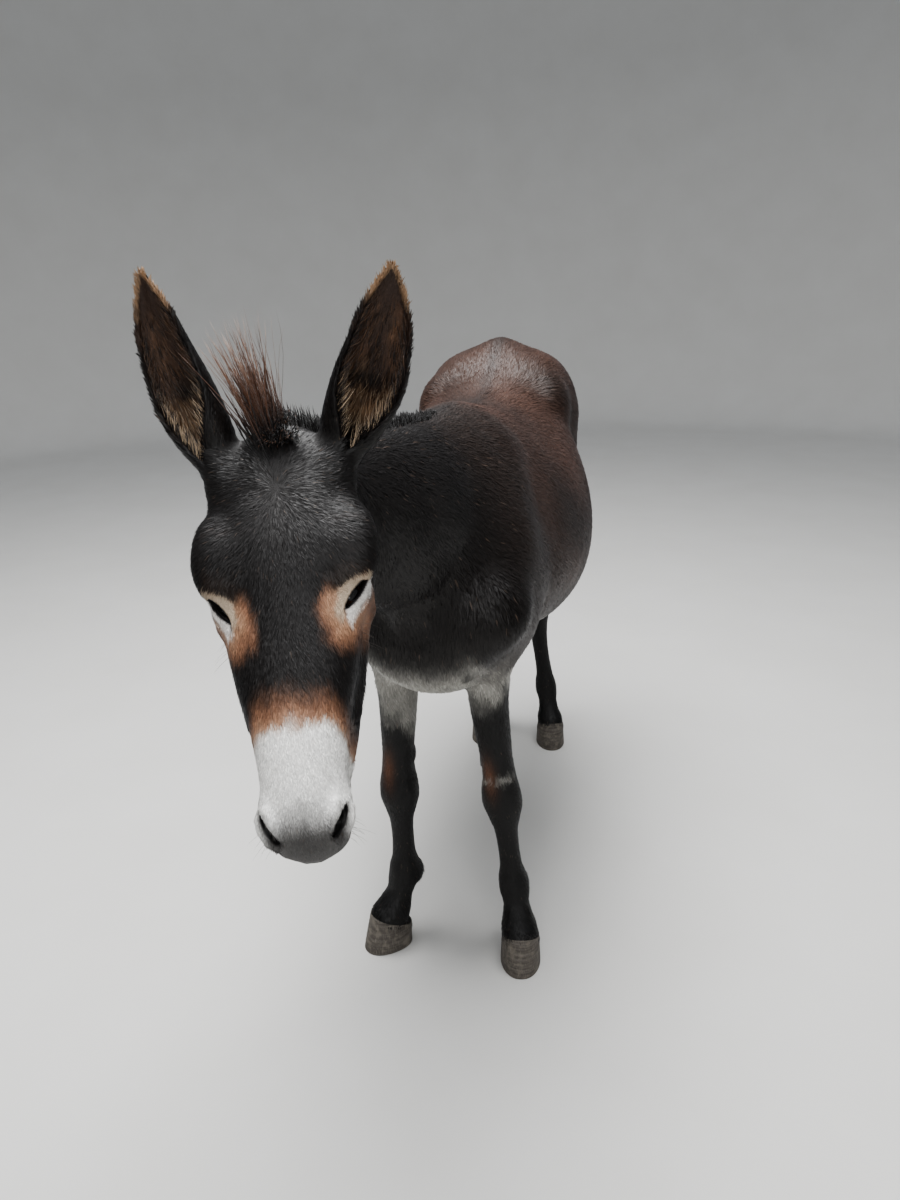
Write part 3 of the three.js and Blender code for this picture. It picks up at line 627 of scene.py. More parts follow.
class Ear:
    """One ear: a sheet cupped round a line from its root to its tip, open to the front."""

    def __init__(self, s):
        root, tip, opens = EARS[s]
        self.s = s
        self.root = on_head(*root)
        self.run = np.array(tip, float) - self.root
        self.bow = np.array([s * 14.0, 0, 0])
        self.opens = np.array(opens, float)
        self.curve = Rows(EAR_ROWS)

    def frame(self, t):
        """Middle, and the directions along, across and out of the cup, at shares of the length."""
        t = np.asarray(t, float)[..., None]
        middle = self.root + self.run * t + self.bow * 4 * t * (1 - t)
        along = unit(self.run + self.bow * 4 * (1 - 2 * t))
        opens = unit(self.opens - along * (along @ self.opens)[..., None])
        return middle, along, np.cross(along, opens), opens

    def place(self, points):
        """Share of the length, angle round the cup, and distance outside its middle sheet."""
        t = (points - self.root) @ self.run / (self.run @ self.run)
        middle, _, aside, opens = self.frame(np.clip(t, 0, 1))
        q = points - middle
        wide, deep, wrap = self.curve.read(t)
        wide, deep = wide - EAR_THICK / 2, deep - EAR_THICK / 2
        wide, deep = np.maximum(wide, 1.5), np.maximum(deep, 1.5)
        a = np.einsum("ij,ij->i", q, aside)
        o = -np.einsum("ij,ij->i", q, opens)
        angle = np.arctan2(a / wide, o / deep)
        length = np.hypot(a, o)
        out = length - length / np.maximum(np.hypot(a / wide, o / deep), 1e-6)
        wrap = np.radians(wrap)
        end = np.hypot(np.abs(a) - wide * np.sin(wrap), o - deep * np.cos(wrap))
        return t, angle, out, wrap, end

    def volume(self):
        """The sheet itself, thinner towards its rim."""

        def depth(points):
            t, angle, out, wrap, end = self.place(points)
            turn = np.minimum(np.abs(angle) / wrap, 1)
            half = EAR_THICK / 2 - 0.4 - 0.5 * turn**4
            inside = np.where(np.abs(angle) <= wrap, np.abs(out), end) - half
            past = np.maximum(np.maximum(-t, t - 1), 0) * np.linalg.norm(self.run)
            return np.where(past > 0, np.maximum(inside, 0) + past, inside)

        middle = self.root + self.run / 2
        return Volume(depth, middle, np.linalg.norm(self.run) / 2 + 50, 12)


EAR_OF = {s: Ear(s) for s in SIDE_NAME}


# ---- The eyes, nostrils and mouth --------------------------------------------------------------
class EyeFrame:
    """One eye's middle, and the directions out of it, along the opening and up across it."""

    def __init__(self, s):
        self.s = s
        self.middle = on_head(EYE[0], EYE[1] - 2, s * (EYE[2] - 3.5))
        self.out = unit(np.array([GAZE[0], GAZE[1], s * GAZE[2]])) @ HEAD_AXES
        along = np.array([-0.62, 0.02, s * 0.62]) @ HEAD_AXES  # inner corner to outer
        self.along = unit(along - self.out * (along @ self.out))
        self.up = np.cross(self.out, self.along) * s

    def place(self, points):
        """Distances along the opening, up across it and out of it, and from the eye's middle."""
        q = points - self.middle
        return q @ self.along, q @ self.up, q @ self.out, np.linalg.norm(q, axis=1)

    def lid_lines(self, along):
        """Heights of the upper and lower lid's edge over the line of the corners."""
        share = np.clip(along / SLIT_HALF, -1, 1)
        arch = (1 - share**2) ** 0.65
        return LID_UP * arch * (1 + 0.25 * share), -LID_DOWN * arch * (1 - 0.2 * share)

    def opening(self):
        """What is cut from the skin so that the eye shows between its lids."""

        def depth(points):
            along, up, out, away = self.place(points)
            top, bottom = self.lid_lines(along)
            middle, half = (top + bottom) / 2, (top - bottom) / 2
            flat = np.maximum(np.abs(up - middle) - half, np.abs(along) - SLIT_HALF)
            return np.maximum(np.maximum(flat, EYE_RADIUS - 0.8 - away), 8 - out)

        return Volume(depth, self.middle + self.out * 20, 34, 1.2)

    def on_lid(self, along, up, radius):
        """Points at these places across the opening, on a ball round the eye."""
        depth = np.sqrt(np.maximum(radius**2 - along**2 - up**2, 60))
        return (
            self.middle
            + along[:, None] * self.along
            + up[:, None] * self.up
            + depth[:, None] * self.out
        )


EYE_OF = {s: EyeFrame(s) for s in SIDE_NAME}
NOSTRIL = [(453, -31, 49), (462, -29, 46), (472, -30, 41), (481, -36, 35), (485, -41, 32)]
MOUTH = [(500, -92, 0), (494, -97, 22), (470, -105, 37), (440, -108, 41), (412, -106, 46)]
FOLDS = [  # shallow creases by the nostril, over the eye and under it, and how deep each is
    ([(404, -6, 16), (420, -11, 27), (433, -20, 38), (446, -25, 46)], 2.6),
    ([(418, -18, 42), (434, -30, 49), (448, -40, 54)], 2.2),
    ([(478, -52, 44), (466, -72, 50), (450, -84, 50)], 2.0),
    ([(400, -96, 50), (392, -110, 48), (386, -122, 42)], 1.8),
    ([(366, -3, 14), (392, -5, 18), (424, -9, 24)], 1.2),
    ([(372, -6, 30), (398, -9, 33), (426, -16, 38)], 1.4),
    ([(376, -14, 43), (402, -20, 44), (430, -32, 49)], 1.4),
]


def mirrored(places, s):
    """Places of the head on its left or, with s -1, on its right, in the plan."""
    return [on_head(down, off, s * out) for down, off, out in places]


def lid_chain(eye, places, away, radii, blend):
    """A chain over a lid, through places along and up across the opening."""
    places = [eye.on_lid(np.array([a]), np.array([b]), away)[0] for a, b in places]
    return chain(places, radii, blend)


def face_parts():
    """What the skin adds to the head: lids, rims of the nostrils, lips."""
    parts = []
    for s, eye in EYE_OF.items():
        parts += [
            ball(eye.middle, (EYE_RADIUS + 3.2,) * 3, 14),
            lid_chain(eye, [(-20, 9), (-10, 15), (2, 17.5), (14, 15.5), (23, 8)], 27.5,
                      [1.2, 3.0, 3.8, 3.2, 1.2], 7),
            chain(mirrored([(446, -38, 47), (456, -42, 50), (468, -44, 48.5), (481, -47, 42),
                            (490, -48, 33)], s), [2.5, 4.6, 5, 4.6, 2.5], 6),
            chain(mirrored([(450, -22, 38), (464, -23, 33), (476, -29, 26)], s), [1.5, 2.8, 2], 9),
            chain(mirrored([(494, -86, 10), (482, -92, 30), (456, -98, 38), (424, -99, 40)], s),
                  [7, 7, 5.5, 3], 9),
            chain(mirrored([(482, -112, 8), (466, -116, 26), (440, -116, 38)], s), [6, 6, 4], 8),
        ]
    return parts


def nostril_cuts(s):
    """The nostril's slit, the wider hollow behind it and the way in."""
    inner = [(u - 3, v - 7, w - 5) for u, v, w in NOSTRIL]
    deep = [(446, -52, 30), (430, -66, 24), (410, -72, 20)]
    return [
        chain(mirrored(NOSTRIL, s), [1.8, 3.4, 4.4, 4.0, 2.2], 3),
        chain(mirrored(inner, s), [3.2, 6.0, 7.6, 6.2, 3.4], 4),
        chain(mirrored([inner[2]] + deep, s), [7, 8, 8, 7], 5),
    ]


def face_cuts():
    """What is cut from the head: eye openings, nostrils, mouth, creases, hollows over the eyes."""
    cuts = []
    for s, eye in EYE_OF.items():
        cuts += nostril_cuts(s)
        cuts += [
            chain(mirrored(MOUTH, s), [2.4, 2.6, 2.6, 2.2, 1.2], 3),
            lid_chain(eye, [(-18, 5.5), (-9, 10), (2, 11.8), (13, 10), (22, 4)], 29,
                      [0.8, 1.6, 1.9, 1.6, 0.8], 2.6),
            lid_chain(eye, [(-18, -8), (-6, -14), (8, -15), (19, -9)], 28,
                      [0.6, 1.3, 1.3, 0.6], 4),
            eye.opening(),
        ]
        for places, width in FOLDS:
            radii = [width * share for share in np.sin(np.linspace(0.5, 2.6, len(places)))]
            cuts.append(chain(mirrored(places, s), radii, 5))
    cuts.append(chain([on_head(452, -10, 0), on_head(470, -20, 0), on_head(492, -42, 0)],
                      [2, 3, 2], 9))
    return cuts


def coat_depth(points):
    """How far the skin lies inside the solids: 4.5 under the body's coat, less on head and legs.

    Inside the hoofs it lies deeper again, so that it never shows through the horn.
    """
    _, y, z = points.T
    depth = mix(4.5, 1.6, ease((-330 - y) / 120))
    depth = mix(depth, 1.9, ease((620 - z) / 160))
    return mix(depth, 8.0, ease((62 - z) / 22))


def skin_depth():
    """Depth of the whole skin."""
    parts = trunk_volumes() + head_volumes() + [leg.volume() for leg in LEGS]
    parts += [bar(a[:3], b[:3], a[3] + 1.5, b[3] + 1.5, 16) for a, b in zip(DOCK, DOCK[1:])]
    body = together(parts)
    face = together(
        [Volume(lambda p: body(p) + coat_depth(p), on_head(200, 0, 0), 9000, 1)]
        + [ear.volume() for ear in EAR_OF.values()]
        + face_parts()
    )
    return carved(face, face_cuts())


# ---- The skin's surface ------------------------------------------------------------------------
LENS_MIDDLE = on_head(230, -70, 0)
LENS_NEAR = 0.45  # the grid's cells are this share of their size round the head
LENS_FROM, LENS_OVER = 900, 1700
CORNERS = np.array([(i >> 2 & 1, i >> 1 & 1, i & 1) for i in range(8)])
EDGES = [(a, b) for a in range(8) for b in range(a + 1, 8) if (a ^ b) in (1, 2, 4)]


def lens(q):
    """Grid place to plan place, and how much the grid is stretched there along its radius.

    The place is the lens's middle plus the grid place times a share that grows with its distance
    from LENS_NEAR at the head to 1 far from it.
    """
    away = np.linalg.norm(q, axis=-1)
    t = np.clip((away - LENS_FROM) / LENS_OVER, 0, 1)
    share = LENS_NEAR + (1 - LENS_NEAR) * ease(t)
    rise = away * (1 - LENS_NEAR) * 6 * t * (1 - t) / LENS_OVER
    return LENS_MIDDLE + q * share[..., None], share + rise


def behind_lens(points):
    """Plan place to grid place."""
    line = np.linspace(0, 3200, 1601)
    reach = np.linalg.norm(lens(np.stack([line, 0 * line, 0 * line], 1))[0] - LENS_MIDDLE, axis=1)
    q = points - LENS_MIDDLE
    away = np.linalg.norm(q, axis=1)
    return q * (np.interp(away, reach, line) / away)[:, None]


def lattice(counts):
    """Every whole-number place of a lattice, one to a row."""
    return np.stack(np.meshgrid(*[np.arange(n) for n in counts], indexing="ij"), -1).reshape(-1, 3)


def in_batches(depth, points, size=200_000):
    """The depth at many points, a batch at a time."""
    parts = [depth(points[i : i + size]) for i in range(0, len(points), size)]
    return np.concatenate(parts) if parts else np.zeros(0)


def cells_on_surface(depth, start, counts, cell):
    """Low corners of the cells that the surface may pass through, by halving blocks of cells."""

    def may_cross(blocks, width):
        places, stretch = lens(start + (blocks + 0.5) * width * cell)
        reach = 1.5 * stretch * width * cell * math.sqrt(3) / 2 + 0.5
        return blocks[np.abs(in_batches(depth, places)) < reach]

    blocks = may_cross(lattice(counts // 8), 8)
    blocks = may_cross((blocks[:, None] * 4 + lattice((4, 4, 4))).reshape(-1, 3), 2)
    return (blocks[:, None] * 2 + lattice((2, 2, 2))).reshape(-1, 3)


def settle(depth, points, rounds):
    """Points moved onto the surface: each round goes down the slope by the depth over its size."""
    step = 0.4
    for _ in range(rounds):
        here = in_batches(depth, points)
        slope = np.empty_like(points)
        for axis in range(3):
            side = np.zeros(3)
            side[axis] = step
            slope[:, axis] = (
                in_batches(depth, points + side) - in_batches(depth, points - side)
            ) / (2 * step)
        size = np.maximum((slope**2).sum(1), 0.25)
        points = points - np.clip(here / size, -1.5, 1.5)[:, None] * slope
    return points


def crossed_cells(depth, start, cell, dims, fresh):
    """Numbers of the cells that the surface crosses, and the depth at every grid place used.

    It starts from the fresh cells and adds those that a crossing leads into until there are none.
    """
    stride = np.array([dims[1] * dims[2], dims[2], 1])
    hop = CORNERS @ stride
    fresh = np.unique(fresh @ stride)
    held = np.zeros(np.prod(dims), bool)
    known = np.zeros(len(held), bool)
    values = np.zeros(len(held), np.float32)
    found = []
    while len(fresh):
        held[fresh] = True
        at = np.unique(fresh[:, None] + hop)
        at = at[~known[at]]
        known[at] = True
        places = np.stack(np.unravel_index(at, dims), 1)
        values[at] = in_batches(depth, lens(start + places * cell)[0])
        inside = values[fresh[:, None] + hop] < 0
        crossed = inside.any(1) & ~inside.all(1)
        found.append(fresh[crossed])
        inside, tried = inside[crossed], fresh[crossed]
        leads = []
        for axis in range(3):
            for end in (0, 1):
                face = inside[:, CORNERS[:, axis] == end]
                open_face = face.any(1) & ~face.all(1)
                leads.append(tried[open_face] + (2 * end - 1) * stride[axis])
        fresh = np.unique(np.concatenate(leads))
        fresh = fresh[~held[fresh]]
    return np.concatenate(found), values


def net_points(corner):
    """Each cell's point in the cell: the middle of the crossings on its edges."""
    inside = corner < 0
    total, number = np.zeros((len(corner), 3)), np.zeros(len(corner))
    for a, b in EDGES:
        cross = inside[:, a] != inside[:, b]
        t = corner[cross, a] / (corner[cross, a] - corner[cross, b])
        total[cross] += CORNERS[a] + (CORNERS[b] - CORNERS[a]) * t[:, None]
        number[cross] += 1
    return total / number[:, None]


def net_faces(flat, inside, dims):
    """A face for each grid edge that crosses the surface, through the four cells round it."""
    stride = np.array([dims[1] * dims[2], dims[2], 1])
    index = np.full(np.prod(dims), -1, np.int32)
    index[flat] = np.arange(len(flat))
    faces = []
    for axis in range(3):
        b, c = stride[(axis + 1) % 3], stride[(axis + 2) % 3]
        cross = inside[:, 0] != inside[:, 4 >> axis]
        g = flat[cross]
        ring = np.stack([index[g], index[g - b], index[g - b - c], index[g - c]], 1)
        outwards = inside[cross, 0]
        ring[~outwards] = ring[~outwards, ::-1]
        faces.append(ring[(ring >= 0).all(1)])
    return np.concatenate(faces)


def surface_net(depth, low, high, cell):
    """Points and four-sided faces of the surface where the depth is 0, one point to a cell."""
    rim = low + lattice((9, 9, 9)) / 8 * (high - low)
    q = behind_lens(rim)
    start = q.min(0) - 4 * cell
    counts = (np.ceil((q.max(0) + 4 * cell - start) / cell / 8) * 8).astype(int)
    dims = counts + 1
    fresh = cells_on_surface(depth, start, counts, cell)
    flat, values = crossed_cells(depth, start, cell, dims, fresh)
    corner = values[flat[:, None] + CORNERS @ np.array([dims[1] * dims[2], dims[2], 1])]
    cells = np.stack(np.unravel_index(flat, dims), 1)
    points = lens(start + (cells + net_points(corner)) * cell)[0]
    return points, net_faces(flat, corner < 0, dims)


# ---- Parts of the skin -------------------------------------------------------------------------
REGIONS = ["trunk", "neck", "head", "leg_fore_left", "leg_fore_right", "leg_hind_left",
           "leg_hind_right", "ear_left", "ear_right", "tail"]
TRUNK, NECK, HEAD, LEG, EAR, TAIL = 0, 1, 2, 3, 7, 9
DOCK_LINE = np.array(DOCK, float)


def region_of(points):
    """The number of the named part that each skin point belongs to."""
    x, y, z = points.T
    down, off, out = head_place(points).T
    region = np.full(len(points), TRUNK)
    region[y < 40 - (1150 - z) * 0.633] = NECK
    region[(down > -27 - 0.469 * off) & (y < -300) & (z > 700)] = HEAD
    for number, leg in enumerate(LEGS):
        top = 610 if leg.kind == "fore" else 660
        own = (z < top) & (x * leg.s > 0) & ((y < 450) == (leg.kind == "fore"))
        region[own & (np.abs(y - leg.ankle[1]) < 180)] = LEG + number
    region[(z > 1120) & (y < -370) & (down < 30) & (np.abs(out) > 30) & (off > -30)] = HEAD
    for number, ear in enumerate(EAR_OF.values()):
        t, _, _, _, _ = ear.place(points)
        near = np.linalg.norm(points - ear.frame(np.clip(t, 0, 1))[0], axis=1) < 62
        region[near & (t > 0.1) & (z > 1150)] = EAR + number
    nearest = np.interp(z, DOCK_LINE[::-1, 2], DOCK_LINE[::-1, 1])
    region[(z > 600) & (z < 1075) & (np.abs(x) < 45) & (y > nearest - 34) & (y > 985)] = TAIL
    return region


def around(points, region):
    """Place along a part and angle round it, which unroll its skin on to a plane."""
    x, y, z = points.T
    if region == HEAD:
        down, off, out = head_place(points).T
        return down, np.arctan2(out, off + 75)
    if LEG <= region < EAR:
        leg = LEGS[region - LEG]
        _, side, ahead = leg.place(points)
        row = leg.curve.read(z)
        return -z, np.arctan2(side - row[0], ahead + row[1])
    if EAR <= region < TAIL:
        ear = list(EAR_OF.values())[region - EAR]
        t, angle, out, wrap, _ = ear.place(points)
        return t * 250, np.where(out > 0, angle, 2 * wrap + angle)
    if region == TAIL:
        middle = np.interp(z, DOCK_LINE[::-1, 2], DOCK_LINE[::-1, 1])
        return -z, np.arctan2(x, y - middle)
    if region == NECK:
        row = Rows(NECK_ROWS).read(y)
        return y + 0.3 * (1100 - z), np.arctan2(x - row[0], z - row[2])
    return y, np.arctan2(x, z - 830)


# ---- The lie of the coat -----------------------------------------------------------------------
WHORL = np.array([84.0, 8.0, 0.0])


def lie_of_coat(points, normals, region):
    """The way the hair lies at each skin point.

    It runs back and down over the body and down the legs. On the forehead it runs out from a
    whorl, then down the nose. It runs down and back over the cheeks, away from the eyes, and
    towards the tips of the ears.
    """
    x, y, z = points.T
    below = ease((830 - z) / 260)
    way = np.stack([0.12 * np.sign(x), 0 * y + 1.0, -0.85 - 0.5 * below], 1)
    way = mix(way, (0, 1, -0.1), ease((z - 1060) / 90))
    way = mix(way, (0, 0.5, -1), ease((y - 760) / 220))
    way = mix(way, (0, 0.35, -1), ease((-30 - y) / 100) * ease((1000 - z) / 160))
    way = mix(way, (0, 1, -0.1), ease((650 - z) / 60) * (np.abs(y - 440) < 330))
    neck = region == NECK
    way[neck] = mix((-0.1, 0.72, -0.7), (0.1, 1, -0.05), ease((z[neck] - 1090) / 60))
    leg = (region >= LEG) & (region < EAR)
    way[leg] = (0, 0.18, -1)
    down, off, out = head_place(points).T
    spread = np.stack([down - WHORL[0], 0 * off, 1.5 * out], 1)
    spread = unit(spread + 1e-3)
    nose = np.stack([0 * down + 1, 0 * off, 0.006 * out], 1)
    face = mix(spread, unit(nose), ease((down - 130) / 110))
    cheek = np.stack([0 * down + 0.5, 0 * off - 1, 0 * out], 1)
    face = mix(face, unit(cheek), ease((-off - 45) / 60) * ease((360 - down) / 80))
    head = region == HEAD
    way[head] = (face @ HEAD_AXES)[head]
    for eye in EYE_OF.values():
        along, up, _, away = eye.place(points)
        spread = along[:, None] * eye.along + up[:, None] * 2.2 * eye.up
        share = ease((42 - away) / 12) * head
        way = mix(way, unit(spread + 1e-6), share)
    for number, ear in enumerate(EAR_OF.values()):
        own = region == EAR + number
        if own.any():
            t, angle, _, wrap, _ = ear.place(points[own])
            _, along, aside, _ = ear.frame(np.clip(t, 0, 1))
            fan = (angle / wrap)[:, None] * 0.5
            way[own] = along + aside * fan
    way[region == TAIL] = (0, 0.05, -1)
    turn = 0.2 * ripple(points, 90, 3) + 0.12 * ripple(points, 34, 4)
    way = unit(way - normals * np.einsum("ij,ij->i", way, normals)[:, None])
    aside = np.cross(normals, way)
    return way * np.cos(turn)[:, None] + aside * np.sin(turn)[:, None]


# ---- Markings ----------------------------------------------------------------------------------
BODY = (0.019, 0.0115, 0.0085)
RUST = (0.090, 0.044, 0.030)
BLACK = (0.0050, 0.0044, 0.0043)
FACE = (0.0092, 0.0077, 0.0073)
GRIZZLE = (0.36, 0.35, 0.32)
WHITE = (0.80, 0.79, 0.765)
CREAM = (0.62, 0.52, 0.41)
ORANGE = (0.25, 0.125, 0.074)
TAN = (0.34, 0.225, 0.14)
LIP = (0.075, 0.072, 0.070)
DARK_SKIN = (0.016, 0.014, 0.014)


def body_colour(points):
    """Dark brown with a rusty cast on back, barrel and croup, pale below, black down the legs."""
    x, y, z = points.T
    rust = ease((y - 60) / 200) * ease((z - 640) / 160) * (0.55 + 0.35 * ripple(points, 260, 11))
    colour = mix(BODY, RUST, np.clip(rust, 0, 1) * 0.66)
    colour = mix(colour, BLACK, 0.8 * ease((40 - y) / 160))
    spine = np.exp(-((x / 16) ** 2)) * ease((z - 1060) / 20) * ease((y + 60) / 60)
    colour = mix(colour, BLACK, 0.45 * spine)
    edge = 18 * ripple(points, 70, 12) + 9 * ripple(points, 24, 13)
    belly = Rows(TRUNK_ROWS).read(y)[2]
    rise = np.interp(y, [-160, -60, 60, 200, 700, 850, 1000], [52, 66, 58, 62, 70, 60, 20])
    pale = ease((belly + rise + edge - z) / 50) * ease((y + 150) / 50)
    inner = ease((84 - np.abs(x) + edge) / 34) * ease((985 - y) / 60)
    pale = pale * mix(1, inner, ease((y - 660) / 110))
    colour = mix(colour, GRIZZLE, pale * 0.86)
    return colour


def leg_colour(points, leg, colour):
    """Black legs: grizzled above the knee on the front and inside, rusty and pale flecks below."""
    _, side, ahead = leg.place(points)
    z = points[:, 2]
    row = leg.curve.read(z)
    side, ahead = side - row[0], ahead + row[1]
    edge = 16 * ripple(points, 60, 21) + 8 * ripple(points, 22, 22)
    black = ease((640 + edge - z) / 50)
    colour = mix(colour, BLACK, black)
    facing = ease((ahead * 0.8 - side + 26) / 46)
    top = 560 if leg.s == 1 else 524
    if leg.kind == "fore":
        low = top - 40 * ease((-side - 4) / 20) * (leg.s == -1)
        grey = ease((z + edge - low) / 50) * facing * ease((740 - z) / 90)
        colour = mix(colour, GRIZZLE, grey * (0.66 if leg.s == -1 else 0.30))
        patch = np.exp(-(((z - 425) / 40) ** 2) - ((side + leg.s * 14) / 13) ** 2) * (ahead > 0)
        colour = mix(colour, (0.13, 0.052, 0.026), 0.85 * patch)
        if leg.s == 1:
            mark = np.exp(-(((z - 416 - 0.25 * side - 4 * ripple(points, 20, 23)) / 7) ** 2))
            mark = mark * ease((ahead - 6) / 10) * ease(0.6 + ripple(points, 13, 24))
            colour = mix(colour, GRIZZLE, 0.75 * mark)
    else:
        grey = ease((z + edge - 600) / 60) * ease((-side + 4) / 30)
        colour = mix(colour, GRIZZLE, grey * 0.5)
    return colour


def ring_colour(points, s, edge, colour):
    """An orange ring round one eye, cream in its middle, under a brow with a rusty cast."""
    down, off, out = head_place(points).T
    side = s * out
    brow = np.exp(-(((down - 160) / 26) ** 2) - ((side - 74) / 24) ** 2)
    colour = mix(colour, (0.036, 0.018, 0.013), 0.8 * brow * (0.6 + ripple(points, 16, 33)))
    slant = side - 66 + 0.18 * (down - 226)
    ring = np.hypot((down - 226 - edge) / 48, (slant + 0.5 * edge) / 29)
    high = (side > 0) * ease((off + edge + 104) / 30)
    colour = mix(colour, ORANGE, ease((1.22 - ring) / 0.5) * high)
    colour = mix(colour, (0.38, 0.235, 0.15), ease((0.9 - ring) / 0.4) * high * 0.75)
    close = np.hypot((down - 214 - 0.5 * edge) / 30, (slant - 5) / 17)
    return mix(colour, CREAM, ease((1.0 - close) / 0.6) * high * 0.6)


def lid_colour(points, eye, colour):
    """White under one eye, a cream upper lid, dark rims, and a dark edge over the lid."""
    along, up, depth, away = eye.place(points)
    near = (np.abs(along) < 34) & (depth > 0) & (away < 50)
    top, bottom = eye.lid_lines(along)
    under = near & (up < bottom + 1)
    white = ease((12 + up[under]) / 8 + 1) * ease((-up[under] - 1) / 3) * 0.8
    colour[under] = mix(colour[under], WHITE, white)
    lid = near & (up > top - 1) & (up < top + 14)
    colour[lid] = mix(colour[lid], (0.47, 0.39, 0.30), 0.75)
    gap = np.maximum(up - top, bottom - up)
    rim = near & (gap < 2.2) & (np.abs(along) < SLIT_HALF + 3)
    colour[rim] = mix(colour[rim], DARK_SKIN, ease((2.2 - gap[rim]) / 1.4))
    over = up - top - 11 - 0.5 * np.clip(-along - 4, 0, 40)
    shade = ease(over / 6) * ease((along + 26) / 20) * (depth > -20) * (away < 95)
    return mix(colour, FACE, 0.95 * shade)


def head_colour(points, colour):
    """Near-black face with an orange edge and white muzzle, rings round the eyes, grey lips."""
    down, off, out = head_place(points).T
    wide = np.abs(out)
    colour = mix(colour, FACE, 0.9)
    crown = np.exp(-(((down - 92) / 60) ** 2) - (out / 34) ** 2)
    colour = mix(colour, (0.016, 0.0138, 0.0132), crown)
    edge = 5 * ripple(points, 44, 31) + 3 * ripple(points, 15, 32)
    line = down + edge - 357 - 26 * ease((wide - 34) / 30) - 14 * ease((-off - 40) / 60)
    colour = mix(colour, ORANGE, ease((line + 46) / 44) * 0.95)
    colour = mix(colour, (0.42, 0.26, 0.17), ease((line + 16) / 18) * 0.6)
    colour = mix(colour, WHITE, ease((line - 1) / 12))
    grey = ease((down + 0.6 * edge - 434 - 0.35 * wide) / 36) * ease((-wide + 62) / 30)
    grey = np.maximum(grey, ease((-off - 72) / 26) * ease((down - 430) / 40))
    colour = mix(colour, (0.26, 0.255, 0.25), grey * 0.85)
    colour = mix(colour, LIP, ease((down - 461 + 0.4 * edge - 0.2 * wide) / 22))
    mouth = chain([on_head(u, v, w) for u, v, w in MOUTH], [1] * 5, 1)
    other = chain([on_head(u, v, -w) for u, v, w in MOUTH], [1] * 5, 1)
    close = np.minimum(mouth.depth(points), other.depth(points))
    colour = mix(colour, LIP, 0.8 * ease((9 - close) / 6) * (down > 380))
    for s, eye in EYE_OF.items():
        colour = lid_colour(points, eye, ring_colour(points, s, edge, colour))
        inside = np.min([cut.depth(points) for cut in nostril_cuts(s)], axis=0)
        # Dark skin round each nostril and in it; the darkest colour inside the cut is also painted
        # shade of the hollow.
        colour = mix(colour, (0.10, 0.095, 0.09), ease((5.5 - inside) / 4) * 0.6)
        colour = mix(colour, DARK_SKIN, ease((2.4 - inside) / 2))
    return colour


def ear_colour(points, ear):
    """Dark brown ears with a black rim, tan tips, and tan hair low inside the cup."""
    t, angle, out, wrap, _ = ear.place(points)
    turn = np.abs(angle) / wrap
    inside = out < 0
    edge = 0.05 * ripple(points, 50, 41) + 0.03 * ripple(points, 18, 42)
    colour = np.where(inside[:, None], (0.040, 0.0225, 0.0155), (0.0115, 0.0085, 0.0075))
    streak = np.clip(0.5 * ripple(points * (1, 1, 0.25), 9, 43) + 0.5 * edge / 0.05, 0, 1)
    middle = np.exp(-(((turn - 0.45) / 0.3) ** 2)) * ease((0.9 - t) / 0.2)
    colour = mix(colour, (0.17, 0.088, 0.048), inside * (0.25 + 0.75 * streak) * middle)
    low = inside * ease((0.46 + 2 * edge - t) / 0.24) * ease((0.92 - turn) / 0.3)
    colour = mix(colour, TAN, low * (0.45 + 0.5 * streak))
    # Painted shade: the middle of the cup, where it is deepest, is darkened towards black.
    hollow = inside * np.exp(-(((t - 0.40) / 0.06) ** 2) - ((turn - 0.1) / 0.3) ** 2)
    colour = mix(colour, BLACK, hollow * 0.9)
    rim = ease((turn - 0.80) / 0.1) * ease((0.70 + edge - t) / 0.1)
    colour = mix(colour, (0.009, 0.007, 0.0065), rim * 0.85)
    tip = ease((t + edge - 0.74) / 0.14) * ease((turn - 0.86) / 0.1)
    tip = np.maximum(tip, ease((t - 0.962) / 0.02))
    return mix(colour, (0.38, 0.25, 0.155), tip * 0.85)


def markings(points, region):
    """The colour of skin and coat at each point, the same for both."""
    colour = body_colour(points)
    for number, leg in enumerate(LEGS):
        x, y, z = points.T
        own = (z < 760) & (x * leg.s > 0) & (np.abs(y - leg.ankle[1]) < 190)
        own &= (y < 450) == (leg.kind == "fore")
        colour[own] = leg_colour(points[own], leg, colour[own])
    share = ease((-330 - points[:, 1]) / 60) * (points[:, 2] > 690)
    head = share > 0
    colour[head] = mix(colour[head], head_colour(points[head], colour[head]), share[head])
    for number, ear in enumerate(EAR_OF.values()):
        own = region == EAR + number
        if own.any():
            share = ease((ear.place(points[own])[0] - 0.1) / 0.08)
            colour[own] = mix(colour[own], ear_colour(points[own], ear), share)
    tail = region == TAIL
    colour[tail] = mix(colour[tail], BLACK, 0.6)
    return np.clip(colour, 0, 1)


# ---- Meshes ------------------------------------------------------------------------------------
def make_piece(name, slot, points, corners, sizes, colours=None, replaced=(), material=None):
    """A piece at the origin, from plan points and faces given as one run of corners."""
    mesh = bpy.data.meshes.new(name)
    corners = np.asarray(corners, np.int32).ravel()
    mesh.vertices.add(len(points))
    mesh.vertices.foreach_set("co", to_scene(points).astype(np.float32).ravel())
    mesh.loops.add(len(corners))
    mesh.loops.foreach_set("vertex_index", corners)
    mesh.polygons.add(len(sizes))
    starts = np.concatenate([[0], np.cumsum(sizes)[:-1]])
    mesh.polygons.foreach_set("loop_start", starts.astype(np.int32))
    mesh.update(calc_edges=True)
    mesh.shade_smooth()
    if colours is not None:
        paint(mesh, colours)
    if material is not None:
        mesh.materials.append(material)
    piece = bpy.data.objects.new(name, mesh)
    bpy.context.scene.collection.objects.link(piece)
    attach(piece, "root")
    if replaced:
        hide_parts(*replaced)
    return piece


